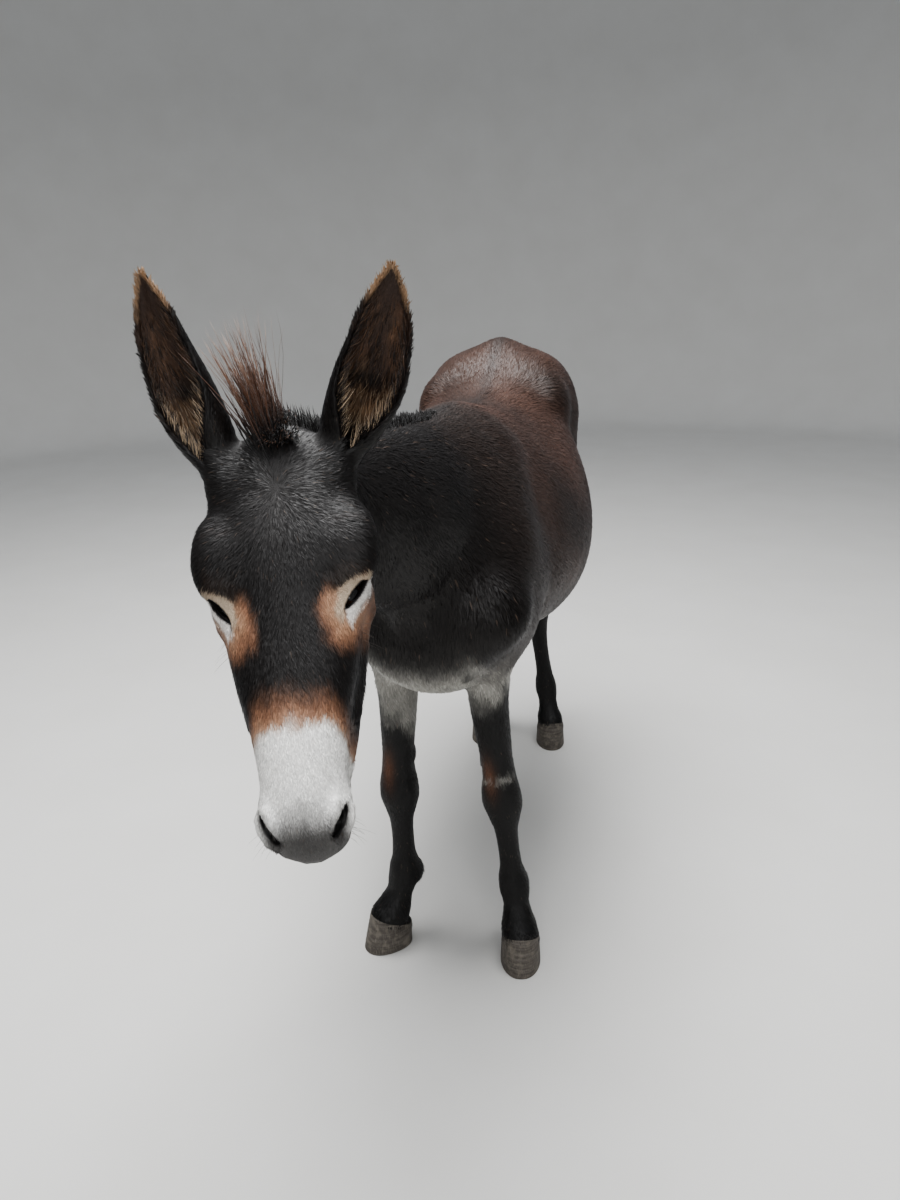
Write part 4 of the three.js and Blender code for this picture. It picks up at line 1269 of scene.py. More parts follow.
def ring_faces(rings, around_by):
    """Four-sided faces between rings of points, each ring closed on itself."""
    i = np.arange(rings - 1)[:, None] * around_by
    j = np.arange(around_by)
    k = (j + 1) % around_by
    return np.stack([i + j, i + around_by + j, i + around_by + k, i + k], -1).reshape(-1, 4)


def closed_faces(rings, around_by):
    """Faces of rings closed at both ends by the two points that follow them."""
    j = np.arange(around_by)
    k = (j + 1) % around_by
    end = rings * around_by
    last = end - around_by
    return [
        ring_faces(rings, around_by),
        np.stack([np.full(around_by, end), j, k], 1),
        np.stack([np.full(around_by, end + 1), last + k, last + j], 1),
    ]


def run_of(faces):
    """Groups of faces as one run of corners, and the number of corners of each."""
    corners = np.concatenate([group.ravel() for group in faces])
    return corners, np.concatenate([np.full(len(group), group.shape[1]) for group in faces])


def paint(mesh, colours):
    """Keeps a colour for each point of a mesh under the name coat."""
    layer = mesh.color_attributes.new("coat", "FLOAT_COLOR", "POINT")
    full = np.concatenate([colours, np.ones((len(colours), 1))], 1)
    layer.data.foreach_set("color", full.astype(np.float32).ravel())


def set_uv(mesh, name, places):
    """A UV map with a place for each point of the mesh."""
    corners = np.empty(len(mesh.loops), np.int32)
    mesh.loops.foreach_get("vertex_index", corners)
    layer = mesh.uv_layers.new(name=name)
    layer.uv.foreach_set("vector", places[corners].astype(np.float32).ravel())


def read_mesh(mesh):
    """Plan points, their normals and the triangles of a mesh."""
    points = np.empty(len(mesh.vertices) * 3, np.float32)
    mesh.vertices.foreach_get("co", points)
    normals = np.empty(len(mesh.vertices) * 3, np.float32)
    mesh.vertices.foreach_get("normal", normals)
    mesh.calc_loop_triangles()
    triangles = np.empty(len(mesh.loop_triangles) * 3, np.int32)
    mesh.loop_triangles.foreach_get("vertices", triangles)
    points = to_plan(points.reshape(-1, 3).astype(float))
    return points, normals.reshape(-1, 3).astype(float), triangles.reshape(-1, 3)


# ---- Shader maths ------------------------------------------------------------------------------
def maths(operation, swapped=False):
    """One of Value's operators: it adds a Math node."""

    def apply(value, other):
        pair = (other, value) if swapped else (value, other)
        return value.shader.node("ShaderNodeMath", {"operation": operation}, dict(enumerate(pair)))

    return apply


class Value:
    """A socket of a shader; sums, products and the like on it add Math nodes."""

    def __init__(self, shader, socket):
        self.shader, self.socket = shader, socket

    __add__, __radd__ = maths("ADD"), maths("ADD", True)
    __sub__, __rsub__ = maths("SUBTRACT"), maths("SUBTRACT", True)
    __mul__, __rmul__ = maths("MULTIPLY"), maths("MULTIPLY", True)
    __truediv__, __pow__ = maths("DIVIDE"), maths("POWER")


class Shader:
    """A material under construction."""

    def __init__(self, name):
        self.material = bpy.data.materials.new(name)
        self.material.use_nodes = True
        self.tree = self.material.node_tree
        self.tree.nodes.clear()

    def node(self, kind, settings=None, inputs=None, output=0):
        """Any node: its settings go in first, then the values or links of its sockets."""
        node = self.tree.nodes.new(kind)
        for key, value in (settings or {}).items():
            if key == "stops":
                ramp = node.color_ramp
                for _ in range(len(value) - 2):
                    ramp.elements.new(0.5)
                for stop, (place, colour) in zip(ramp.elements, value):
                    stop.position, stop.color = place, (*colour, 1)
            else:
                setattr(node, key, value)
        for key, value in (inputs or {}).items():
            if isinstance(value, Value):
                self.tree.links.new(value.socket, node.inputs[key])
            else:
                node.inputs[key].default_value = value
        return Value(self, node.outputs[output])

    def attribute(self, name, output="Color"):
        return self.node("ShaderNodeAttribute", {"attribute_name": name}, output=output)

    def place(self):
        """Object coordinates."""
        return self.node("ShaderNodeTexCoord", output="Object")

    def uv(self, name):
        return self.node("ShaderNodeUVMap", {"uv_map": name})

    def stretched(self, place, scale, turn=(0, 0, 0)):
        """A place turned and scaled, for a pattern."""
        return self.node("ShaderNodeMapping", {},
                         {"Vector": place, "Scale": scale, "Rotation": turn})

    def noise(self, place, scale, detail=3.0, rough=0.55):
        """Noise from 0 to 1 of that many waves to the metre."""
        return self.node("ShaderNodeTexNoise", {"noise_dimensions": "3D"},
                         {"Vector": place, "Scale": scale, "Detail": detail, "Roughness": rough})

    def between(self, value, low, high, start=0.0, end=1.0):
        """A value taken smoothly from start to end as it goes from low to high."""
        return self.node("ShaderNodeMapRange", {"interpolation_type": "SMOOTHSTEP"},
                         {"Value": value, "From Min": low, "From Max": high,
                          "To Min": start, "To Max": end})

    def mixed(self, share, a, b, blend="MIX"):
        """Colour a where the share is 0 and b where it is 1."""
        return self.node("ShaderNodeMix", {"data_type": "RGBA", "blend_type": blend},
                         {0: share, 6: a, 7: b}, output=2)

    def shaded(self, colour, level):
        """A colour times a value."""
        return self.node("ShaderNodeVectorMath", {"operation": "SCALE"},
                         {0: colour, "Scale": level})

    def bump(self, height, strength, distance):
        return self.node("ShaderNodeBump", {}, {"Height": height, "Strength": strength,
                                                "Distance": distance})

    def surface(self, constants, **links):
        """The finished surface: constants, and values for colour, roughness and normal."""
        sockets = {"colour": "Base Color", "roughness": "Roughness", "normal": "Normal"}
        inputs = dict(constants)
        inputs.update({sockets[key]: value for key, value in links.items()})
        made = self.node("ShaderNodeBsdfPrincipled", {}, inputs)
        out = self.tree.nodes.new("ShaderNodeOutputMaterial")
        self.tree.links.new(made.socket, out.inputs["Surface"])
        return self.material


def skin_material():
    """Skin and undercoat: the markings darkened as painted shade between tufts, fine noise and bump.
    """
    shader = Shader("donkey_skin")
    place = shader.place()
    fine = shader.noise(place, 900, 2)
    broad = shader.noise(place, 60, 3)
    # Painted shade: the markings are darkened, about 0.85 on average, for the shade between the
    # tufts; the noise varies the tone.
    colour = shader.shaded(shader.attribute("coat"), 0.55 + fine * 0.35 + broad * 0.25)
    return shader.surface(
        {"Specular IOR Level": 0.35, "Sheen Weight": 0.05, "Sheen Roughness": 0.5},
        colour=colour,
        roughness=0.5 + fine * 0.2,
        normal=shader.bump(fine, 0.35, 0.0012),
    )


def coat_material(options):
    """Short hair: its markings, lighter and darker hairs, and a soft gloss."""
    shader = Shader("donkey_coat")
    strand = shader.uv("strand")
    fibres = shader.noise(shader.stretched(strand, (7, 0.6, 1)), 1.0, 2)
    colour = shader.shaded(shader.attribute("coat"), 0.62 + fibres * 0.76)
    return shader.surface(
        {"Specular IOR Level": 0.36, "Sheen Weight": options.coat_sheen, "Sheen Roughness": 0.42,
         "Sheen Tint": (0.80, 0.86, 1.0, 1.0)},
        colour=colour,
        roughness=0.38 + fibres * 0.14,
    )


def mane_material():
    """Long hair: darker at the root, with fine strands along each lock."""
    shader = Shader("donkey_mane")
    strand = shader.uv("strand")
    fibres = shader.noise(shader.stretched(strand, (9, 1.2, 1)), 1.0, 3)
    colour = shader.shaded(shader.attribute("coat"), 0.55 + fibres * 0.9)
    return shader.surface(
        {"Specular IOR Level": 0.45, "Sheen Weight": 0.12, "Sheen Roughness": 0.4},
        colour=colour,
        roughness=0.36 + fibres * 0.16,
    )


def eye_material(options):
    """A dark brown iris round a level pupil, dull brown outside it, under a clear wet coat."""
    shader = Shader("donkey_eye")
    at = shader.uv("gaze")
    x = shader.node("ShaderNodeSeparateXYZ", {}, {0: at}, output=0)
    y = shader.node("ShaderNodeSeparateXYZ", {}, {0: at}, output=1)
    ring = (x * x + y * y) ** 0.5
    pupil = ((x / 0.44) ** 2.0 + (y / 0.24) ** 2.0) ** 0.5
    spokes = shader.noise(shader.place(), 1400, 3)
    iris = shader.mixed(spokes, (*options.iris_colour, 1), (0.035, 0.016, 0.009, 1))
    iris = shader.mixed(shader.between(ring, 0.62, 0.74), iris, (0.008, 0.005, 0.004, 1))
    outside = shader.mixed(spokes, (0.10, 0.055, 0.04, 1), (0.045, 0.026, 0.02, 1))
    colour = shader.mixed(shader.between(ring, 0.74, 0.84), iris, outside)
    colour = shader.mixed(shader.between(pupil, 0.92, 1.08), (0.002, 0.002, 0.003, 1), colour)
    return shader.surface(
        {"Specular IOR Level": 0.55, "Coat Weight": 1.0, "Coat Roughness": 0.02,
         "Roughness": 0.12},
        colour=colour,
    )


def hoof_material(options):
    """Horn: grey-brown, with growth rings, fine upright lines and dust."""
    shader = Shader("donkey_hoof")
    place = shader.place()
    lines = shader.noise(shader.stretched(place, (1, 1, 0.08)), 520, 3)
    rings = shader.noise(shader.stretched(place, (0.05, 0.05, 1)), 190, 2)
    dust = shader.noise(place, 70, 4)
    colour = shader.mixed(shader.between(rings, 0.3, 0.7) * 0.7, (*options.hoof_colour, 1),
                          (0.048, 0.040, 0.034, 1))
    colour = shader.mixed(shader.between(lines, 0.5, 0.75) * 0.45, colour, (0.25, 0.23, 0.20, 1))
    colour = shader.mixed(shader.between(dust, 0.45, 0.7) * 0.6, colour, (0.20, 0.18, 0.15, 1))
    height = rings * 0.7 + lines * 0.3
    return shader.surface(
        {"Specular IOR Level": 0.35},
        colour=colour,
        roughness=0.52 + dust * 0.25,
        normal=shader.bump(height, 0.5, 0.0012),
    )


# ---- The skin piece ----------------------------------------------------------------------------
SKIN_LOW, SKIN_HIGH = np.array([-290.0, -760.0, 15.0]), np.array([280.0, 1115.0, 1378.0])
SKIN_CELL = 5.0
FLESH = ["head", "neck", "trunk", "tail", "ear_left", "ear_right", "leg_fore_left",
         "leg_fore_right", "leg_hind_left", "leg_hind_right"]


def make_skin(options):
    """The one skin: the net thinned to a share of its faces, set on the surface, and coloured."""
    depth = skin_depth()
    cell = SKIN_CELL * 1
    points, faces = surface_net(depth, SKIN_LOW, SKIN_HIGH, cell)
    rough = make_piece("skin_net", "coat", points, faces, np.full(len(faces), 4))
    thin = rough.modifiers.new("thin", "DECIMATE")
    thin.ratio = options.skin_faces / (2 * len(faces))
    graph = bpy.context.evaluated_depsgraph_get()
    mesh = bpy.data.meshes.new_from_object(rough.evaluated_get(graph))
    old = rough.data
    bpy.data.objects.remove(rough)
    bpy.data.meshes.remove(old)
    points, _, triangles = read_mesh(mesh)
    bpy.data.meshes.remove(mesh)
    points = settle(depth, points, 1)
    make_piece("skin", "coat", points, triangles, np.full(len(triangles), 3),
               markings(points, region_of(points)), FLESH, skin_material())


# ---- The coat ----------------------------------------------------------------------------------
TUFT_SIZES = {  # length, width and how far the tip stands off, by where the tuft grows
    "muzzle": (5.0, 1.0, 0.12), "face": (10, 1.2, 0.085), "cheek": (13, 1.7, 0.09),
    "neck": (17, 2.2, 0.09), "trunk": (18, 2.5, 0.08), "belly": (20, 2.6, 0.11),
    "upper": (15, 2.2, 0.09), "lower": (9.0, 1.6, 0.09), "fetlock": (13, 2.1, 0.18),
    "ear": (6.5, 1.2, 0.12), "rim": (9.0, 1.3, 0.22),
}
COATS = {  # number of pieces and of tufts in each for each part of the skin
    TRUNK: (3, 52_000), NECK: (1, 50_000), HEAD: (3, 44_000), LEG: (1, 22_000),
    LEG + 1: (1, 22_000), LEG + 2: (1, 24_000), LEG + 3: (1, 24_000),
    EAR: (1, 20_000), EAR + 1: (1, 20_000), TAIL: (1, 7_000),
}
PALE_SHARE = 0.012  # this share of the tufts is mixed with a paler colour
PALE_TUFT = (0.16, 0.11, 0.08)


def growth(points, region):
    """Length, width and lift of a tuft at each point, blended between the sizes above."""
    _, y, z = points.T
    sizes = {key: np.array(value, float) for key, value in TUFT_SIZES.items()}

    def blend(a, b, share):
        return a + (b - a) * share[:, None]

    start = np.zeros((len(points), 3))
    if region == HEAD:
        down, off, _ = head_place(points).T
        grown = blend(start + sizes["face"], sizes["cheek"],
                      ease((-off - 50) / 60) * ease((350 - down) / 80))
        grown = blend(grown, sizes["cheek"], ease((60 - down) / 60))
        grown = blend(grown, sizes["muzzle"], ease((down - 340) / 60))
        grown = blend(grown, sizes["muzzle"] * (0.6, 0.9, 0.8),
                      ease((down - 440) / 30) * ease((-off - 60) / 20))
        near = np.min([np.linalg.norm(points - eye.middle, axis=1) for eye in EYE_OF.values()], 0)
        return blend(grown, sizes["muzzle"] * (0.7, 0.8, 1), ease((54 - near) / 22))
    if region in (TRUNK, TAIL):
        grown = blend(start + sizes["trunk"], sizes["belly"], ease((650 - z) / 60))
        grown = blend(grown, sizes["belly"] * (0.8, 1, 1), ease((-60 - y) / 50) * (z < 900))
        return blend(grown, sizes["upper"], ease((y - 640) / 200) * ease((900 - z) / 200))
    if region == NECK:
        return start + sizes["neck"]
    if region < EAR:
        grown = blend(start + sizes["upper"], sizes["lower"], ease((560 - z) / 140))
        leg = LEGS[region - LEG]
        _, _, ahead = leg.place(points)
        behind = ease((-(ahead + leg.curve.read(z)[1]) + 4) / 14)
        grown = blend(grown, sizes["fetlock"], ease((210 - z) / 50) * behind)
        return blend(grown, sizes["fetlock"] * (0.8, 0.9, 0.7), ease((104 - z) / 14))
    ear = list(EAR_OF.values())[region - EAR]
    t, angle, out, wrap, _ = ear.place(points)
    rim = ease((np.abs(angle) / wrap - 0.8) / 0.15)
    grown = blend(start + sizes["ear"], sizes["rim"], rim)
    low = (out < 0) * ease((0.5 - t) / 0.2)
    return blend(grown, np.array((20, 1.7, 0.5)), low * 0.8)


def bald(points):
    """Where no tuft may grow: between the lids, in nostrils and mouth, and inside the hoofs."""
    bare = points[:, 2] < 34
    down = head_place(points)[:, 0]
    for s, eye in EYE_OF.items():
        along, up, depth, away = eye.place(points)
        top, bottom = eye.lid_lines(along)
        gap = np.maximum(np.maximum(up - top, bottom - up), np.abs(along) - SLIT_HALF)
        bare |= (depth > 0) & (away < 40) & (gap < 2.6)
        bare |= away < EYE_RADIUS + 2
        near = np.abs(down - 455) < 60
        for cut in nostril_cuts(s):
            bare[near] |= cut.depth(points[near]) < 1.2
        lips = chain(mirrored(MOUTH, s), [2.2, 2.4, 2.4, 2.3, 1.4], 1)
        bare[near] |= lips.depth(points[near]) < 0.4
    for leg in LEGS:
        away = np.linalg.norm(points[:, :2] - leg.middle(FOOT)[:2], axis=1)
        low = (points[:, 2] < 84) & (away < 90)
        if low.any():
            z, _, ahead = leg.place(points[low])
            forward = ahead + leg.curve.read(np.full(len(z), FOOT))[1]
            bare[low] |= z < 62 + np.clip(forward / 42, -1, 1.2) * 18 - 3
    return bare


def sow(points, triangles, shares, count, rng):
    """Roots spread evenly over the triangles: each one's triangle and its place in it."""
    a, b, c = (points[triangles[:, i]] for i in range(3))
    area = np.linalg.norm(np.cross(b - a, c - a), axis=1) * shares
    total = np.cumsum(area)
    at = (np.arange(count) + rng.uniform(0, 1, count)) * total[-1] / count
    which = np.minimum(np.searchsorted(total, at), len(triangles) - 1)
    u, v = rng.uniform(0, 1, (2, count))
    over = u + v > 1
    u[over], v[over] = 1 - u[over], 1 - v[over]
    return which, np.stack([1 - u - v, u, v], 1)


def blades(roots, normals, ways, length, width, lift, rng):
    """Flat tufts: a pair of points at the root, a pair past the middle and one at the tip.

    The middle of a blade is root + way t L + normal lift L t (2 - t) bent a little sideways; the
    pairs stand half a width to each side of it, and the plane of the pairs is rolled at random.
    """
    count = len(roots)
    aside = np.cross(normals, ways)
    roll = rng.normal(0, 0.16, count)[:, None]
    across = aside * np.cos(roll) + normals * np.sin(roll)
    bend = rng.normal(0, 0.10, count)[:, None]
    length, width, lift = length[:, None], width[:, None], lift[:, None]

    def middle(t):
        return (roots - normals * 0.35 + ways * length * t + aside * bend * length * t * t
                + normals * lift * length * t * (2 - t))

    half = across * width / 2
    points = np.stack([middle(0) - half * 0.8, middle(0) + half * 0.8,
                       middle(0.5) - half, middle(0.5) + half, middle(1.0)], 1)
    start = (np.arange(count) * 5)[:, None]
    corners = (start + np.array([0, 1, 3, 2, 2, 3, 4])).ravel()
    return points.reshape(-1, 3), corners, np.tile([4, 3], count)


def map_tufts(mesh, roots, region, rng):
    """The tufts' bake map, unrolled with the part they grow on, and their strand map.

    Each tuft takes a patch of its own: in the bake map where its root lies, in the strand map at
    random.
    """
    along, about = around(roots, region)
    along = (along - along.min()) / max(np.ptp(along), 1)
    place = np.stack([along, (about + math.pi) / (2 * math.pi) % 1], 1) * 0.992 + 0.004
    patch = np.array([(-1, -1), (1, -1), (-1, 0), (1, 0), (0, 1)]) * 0.0014
    set_uv(mesh, "OFBake", (place[:, None] + patch).reshape(-1, 2))
    spot = np.stack([rng.uniform(0, 90, len(roots)), rng.uniform(0, 90, len(roots))], 1)
    strand = np.array([(-0.5, 0), (0.5, 0), (-0.5, 0.5), (0.5, 0.5), (0, 1)])
    set_uv(mesh, "strand", (spot[:, None] + strand).reshape(-1, 2))


def grow(skin, fields, at, shares, count, rng):
    """Tufts over some of the skin's triangles: their faces, the colours of their points, roots.

    The skin's normals and colours, and the fields for the lie and size of the hair, are taken at
    each root from its triangle's corners.
    """
    points, normals, triangles, colours = skin
    which, share = sow(points, triangles[at], shares, count, rng)
    corner = triangles[at][which]

    def over(values):
        return np.einsum("ij,ijk->ik", share, values[corner])

    root, normal = over(points), unit(over(normals))
    way, grown = (over(field) for field in fields)
    way = unit(way - normal * np.einsum("ij,ij->i", way, normal)[:, None])
    keep = ~bald(root)
    root, normal, way, grown = root[keep], normal[keep], way[keep], grown[keep]
    length = grown[:, 0] * rng.uniform(0.65, 1.3, len(root))
    width = grown[:, 1] * rng.uniform(0.7, 1.2, len(root))
    lift = grown[:, 2] * rng.uniform(0.4, 1.5, len(root))
    made = blades(root, normal, way, length, width, lift, rng)
    colour = over(colours)[keep] * rng.normal(1, 0.15, len(root)).clip(0.55, 1.6)[:, None]
    pale = rng.uniform(0, 1, len(root)) < PALE_SHARE
    colour[pale] = mix(colour[pale], PALE_TUFT, 0.3)
    return made, np.repeat(colour, 5, 0), root


def make_coat(options):
    """All the coat's pieces: tufts sown over each part of the skin, along the lie of the hair.

    A triangle's share of the tufts is its area over the tufts' length times width, to the power
    0.8. A part with several pieces is cut across its length into equal numbers of tufts.
    """
    points, normals, triangles = read_mesh(bpy.data.objects["skin"].data)
    skin = points, normals, triangles, markings(points, region_of(points))
    a, b, c = (points[triangles[:, i]] for i in range(3))
    area = np.linalg.norm(np.cross(b - a, c - a), axis=1)
    middles = points[triangles].mean(1)
    of_triangle = region_of(middles)
    free = ~bald(middles)
    material = coat_material(options)
    rng = np.random.default_rng(7)
    for region, (pieces, count) in COATS.items():
        own = np.flatnonzero((of_triangle == region) & free)
        used = np.unique(triangles[own])
        lie, size = np.zeros_like(points), np.zeros_like(points)
        lie[used] = lie_of_coat(points[used], normals[used], np.full(len(used), region))
        size[used] = growth(points[used], region)
        spread = size[triangles[own]].mean(1)
        shares = 1 / (spread[:, 0] * spread[:, 1]) ** 0.8
        weight = area[own] * shares
        order = np.argsort(around(middles[own], region)[0])
        cut = np.searchsorted(np.cumsum(weight[order]) / weight.sum(),
                              np.arange(1, pieces) / pieces)
        for number, part in enumerate(np.split(order, cut)):
            total = int(count * options.coat_density)
            made, colour, root = grow(skin, (lie, size), own[part], shares[part], total, rng)
            name = "coat_" + REGIONS[region] + (f"_{number + 1}" if pieces > 1 else "")
            piece = make_piece(name, "coat", *made, colour, material=material)
            map_tufts(piece.data, root, region, rng)


# ---- Long hair ---------------------------------------------------------------------------------
def locks(roots, ways, length, radius, settle_way, settle_by, stations, rng, curl=0.1):
    """Closed locks of three sides that taper to a point.

    The middle line starts along its way and turns towards the settling way by the share given;
    its radius goes as the square root of what is left of its length. Gives points, corners, face
    sizes, each point's share of the length and the lock it belongs to.
    """
    count = len(roots)
    t = np.linspace(0, 1, stations)[:, None, None]
    settle_by = np.broadcast_to(settle_by, (count,))[:, None]
    heading = unit(ways * (1 - settle_by * t) + settle_way * settle_by * t)
    wave = rng.normal(0, curl, (count, 3)) * np.sin(t * 5 + rng.uniform(0, 6, (count, 1)))
    step = unit(heading + wave) * length[:, None] / (stations - 1)
    line = np.concatenate([np.zeros((1, count, 3)), np.cumsum(step[1:], 0)]) + roots
    turned = unit(np.cross(ways, rng.normal(size=(count, 3))))
    other = unit(np.cross(ways, turned))
    fade = np.sqrt(np.clip(1 - t[:-1], 0, 1)) * radius[None, :, None]
    angles = np.array([0.5, 2.6, 4.7])
    ring = [line[:-1] + fade * (turned * math.cos(a) + other * math.sin(a)) for a in angles]
    body = np.stack(ring, 2).transpose(1, 0, 2, 3).reshape(count, -1, 3)
    points = np.concatenate([body, line[-1][:, None]], 1)
    each = points.shape[1]
    faces = []
    for i in range(stations - 2):
        for j in range(3):
            k = (j + 1) % 3
            faces += [i * 3 + j, i * 3 + k, i * 3 + 3 + k, i * 3 + 3 + j]
    last = (stations - 2) * 3
    for j in range(3):
        faces += [last + j, last + (j + 1) % 3, each - 1]
    faces += [2, 1, 0]
    sizes = np.tile([4] * (3 * (stations - 2)) + [3] * 4, count)
    corners = ((np.arange(count) * each)[:, None] + np.array(faces)).ravel()
    share = np.concatenate([np.repeat(np.linspace(0, 1, stations)[:-1], 3), [1]])
    return points.reshape(-1, 3), corners, sizes, np.tile(share, count), np.repeat(
        np.arange(count), each)


def hair_piece(name, slot, made, colours, replaced=()):
    """A piece of locks with its strand map, and its bake map as small patches on a grid."""
    points, corners, sizes, share, lock = made
    piece = make_piece(name, slot, points, corners, sizes, colours, replaced,
                       bpy.data.materials["donkey_mane"])
    count = lock.max() + 1
    side = int(math.ceil(math.sqrt(count)))
    ring = np.arange(len(share)) % 3
    cell = np.stack([lock % side, lock // side], 1) + 0.1
    inner = np.stack([ring * 0.35, share * 0.75], 1)
    set_uv(piece.data, "OFBake", (cell + inner) / side)
    set_uv(piece.data, "strand", np.stack([lock * 1.7 % 91 + ring * 0.5, share * 3], 1))


def make_mane():
    """Upright mane along the crest, with tall wisps behind the poll."""
    mane_material()
    rng = np.random.default_rng(21)
    rows = Rows(MANE_ROWS)
    neck, trunk = Rows(NECK_ROWS), Rows(TRUNK_ROWS)
    count = LOCKS["wisps"] + LOCKS["mane"]
    wisp = np.arange(count) < LOCKS["wisps"]
    y = np.where(wisp, rng.normal(WISP_AT, 9, count), -482 + 604 * rng.uniform(0, 1, count) ** 1.1)
    x, tall = rows.read(y)
    x = x + 13 * wisp
    side = rng.normal(0, 1, count).clip(-1.8, 1.8)
    crest = np.maximum(neck.read(y)[1], np.where(y > -30, trunk.read(y)[0], 0))
    half = np.interp(y, [-490, -440, -380, 0, 120], [8, 10, 13, 12, 4])
    roots = np.stack([x + side * half * 0.55, y, crest - 3 - 1.6 * side**2], 1)
    clump = 1 + 0.16 * np.sin(y / 7.1 + 2 * np.sin(y / 19)) + 0.1 * np.sin(y / 3.3)
    tall = tall * clump * np.where(rng.uniform(0, 1, count) < 0.5, 1, 0.62)
    tall = np.where(wisp, WISP_LENGTH * rng.uniform(0.4, 1, count) ** 0.9,
                    tall * rng.uniform(0.75, 1.1, count))
    lean = np.interp(y, [-490, -420, -360, -300, 0], [-0.36, -0.34, -0.2, -0.1, -0.05])
    lean = lean + np.where(wisp, 0.17, 0.12) * rng.normal(-0.25, 1, count) + side * 0.05
    ways = unit(np.stack([lean, rng.normal(0.02, 0.13, count), np.ones(count)], 1))
    curl = np.stack([0.5 * rng.normal(-0.5, 0.7, count), rng.normal(0.05, 0.25, count),
                     np.full(count, 0.75)], 1)
    wide = rng.uniform(0.5, 1.15, count) * np.where(wisp, 0.62, 1) + 0.4 * (~wisp & (y < -380))
    made = locks(roots, ways, tall, wide, curl, rng.uniform(0.1, 0.6, count), 7, rng, 0.07)
    share, lock = made[3], made[4]
    tint = rng.uniform(0, 1, count)[lock]
    tip = ease((share * tall[lock] - 30) / 34) * np.where(wisp[lock], 1, 0.4)
    colour = mix((0.0075, 0.006, 0.006), (0.15, 0.062, 0.032), tip * (0.5 + 0.5 * tint))
    colour = mix(colour, (0.30, 0.17, 0.105), wisp[lock] * tip * ease((tint - 0.55) / 0.3)
                 * ease((share - 0.4) / 0.5))
    hair_piece("mane_hair", "mane", made, colour, ["mane"])
    make_forelock(rng)


def make_forelock(rng):
    """Short hair over the forehead, in front of the poll."""
    count = LOCKS["forelock"]
    out = rng.normal(5, 11, count).clip(-22, 28)
    down = rng.uniform(-26, 24, count)
    roots = np.array([on_head(u, 2 - 0.0035 * w * w - 0.002 * (u - 25) ** 2, w)
                      for u, w in zip(down, out)])
    ways = unit(np.stack([0.35 + rng.normal(0, 0.2, count), 1 + 0 * out,
                          out * 0.012 + rng.normal(0, 0.12, count)], 1)) @ HEAD_AXES
    made = locks(roots, ways, rng.uniform(12, 30, count), rng.uniform(0.6, 1.2, count),
                 DOWN_FACE, rng.uniform(0.1, 0.6, count), 5, rng, 0.1)
    tip = ease((made[3] - 0.3) / 0.6)
    tint = rng.uniform(0, 1, count)[made[4]]
    colour = mix((0.008, 0.007, 0.007), (0.16, 0.08, 0.045), tip * ease((tint - 0.55) / 0.4))
    hair_piece("forelock", "mane", made, colour)


def make_tail():
    """Long hair from the lower dock, hanging in one narrow switch."""
    rng = np.random.default_rng(22)
    count = LOCKS["tail"]
    line = DOCK_LINE
    z = 632 + 260 * rng.uniform(0, 1, count) ** 1.5
    middle = np.stack([np.interp(z, line[::-1, 2], line[::-1, i]) for i in (0, 1)], 1)
    radius = np.interp(z, line[::-1, 2], line[::-1, 3])
    angle = rng.uniform(-math.pi, math.pi, count)
    aim = np.stack([np.cos(angle), np.sin(angle), 0 * z], 1)
    roots = np.stack([middle[:, 0], middle[:, 1], z], 1) + aim * (radius * 0.92)[:, None]
    end = SWITCH_END + 150 * rng.uniform(0, 1, count) ** 2
    ways = unit(aim * 0.14 + np.array([0, 0.0, -1]))
    made = locks(roots, ways, (z - end).clip(60, None), rng.uniform(1.0, 2.1, count),
                 -aim * 0.10 + np.array([0, -0.02, -1]), 0.95, 9, rng, 0.045)
    tint = rng.uniform(0, 1, count)[made[4]]
    colour = mix((0.012, 0.011, 0.011), (0.05, 0.027, 0.019), made[3] * tint)
    hair_piece("tail_switch", "mane", made, colour, ["tail_tuft"])


def make_coronet_hair():
    """A fringe of hair that hangs from each coronet over the hoof's upper edge."""
    for leg in LEGS:
        rng = np.random.default_rng(50 + LEGS.index(leg))
        count = LOCKS["coronet"]
        angle = rng.uniform(-math.pi, math.pi, count)
        x, y, z = hoof_points(np.ones(count), angle)
        above = rng.uniform(0, 9, count)
        shrink = 0.95 - 0.014 * above
        low = leg.middle(FOOT)
        at = leg.turned(x * shrink, y * shrink)
        roots = np.stack([low[0] + at[0], low[1] + at[1], z + above], 1)
        away = leg.turned(0.4 * np.sin(angle), -0.4 * np.cos(angle))
        ways = unit(np.stack([away[0], away[1], -1.1 + 0 * x], 1) + rng.normal(0, 0.1, (count, 3)))
        made = locks(roots, ways, rng.uniform(9, 24, count), rng.uniform(0.35, 0.9, count),
                     np.array([0, 0, -1.0]), rng.uniform(0.6, 1.0, count), 5, rng, 0.08)
        tint = rng.uniform(0, 1, count)[made[4]]
        colour = mix((0.007, 0.006, 0.006), (0.035, 0.022, 0.016), made[3] * tint)
        hair_piece(f"coronet_hair_{leg.kind}_{SIDE_NAME[leg.s]}", "mane", made, colour)


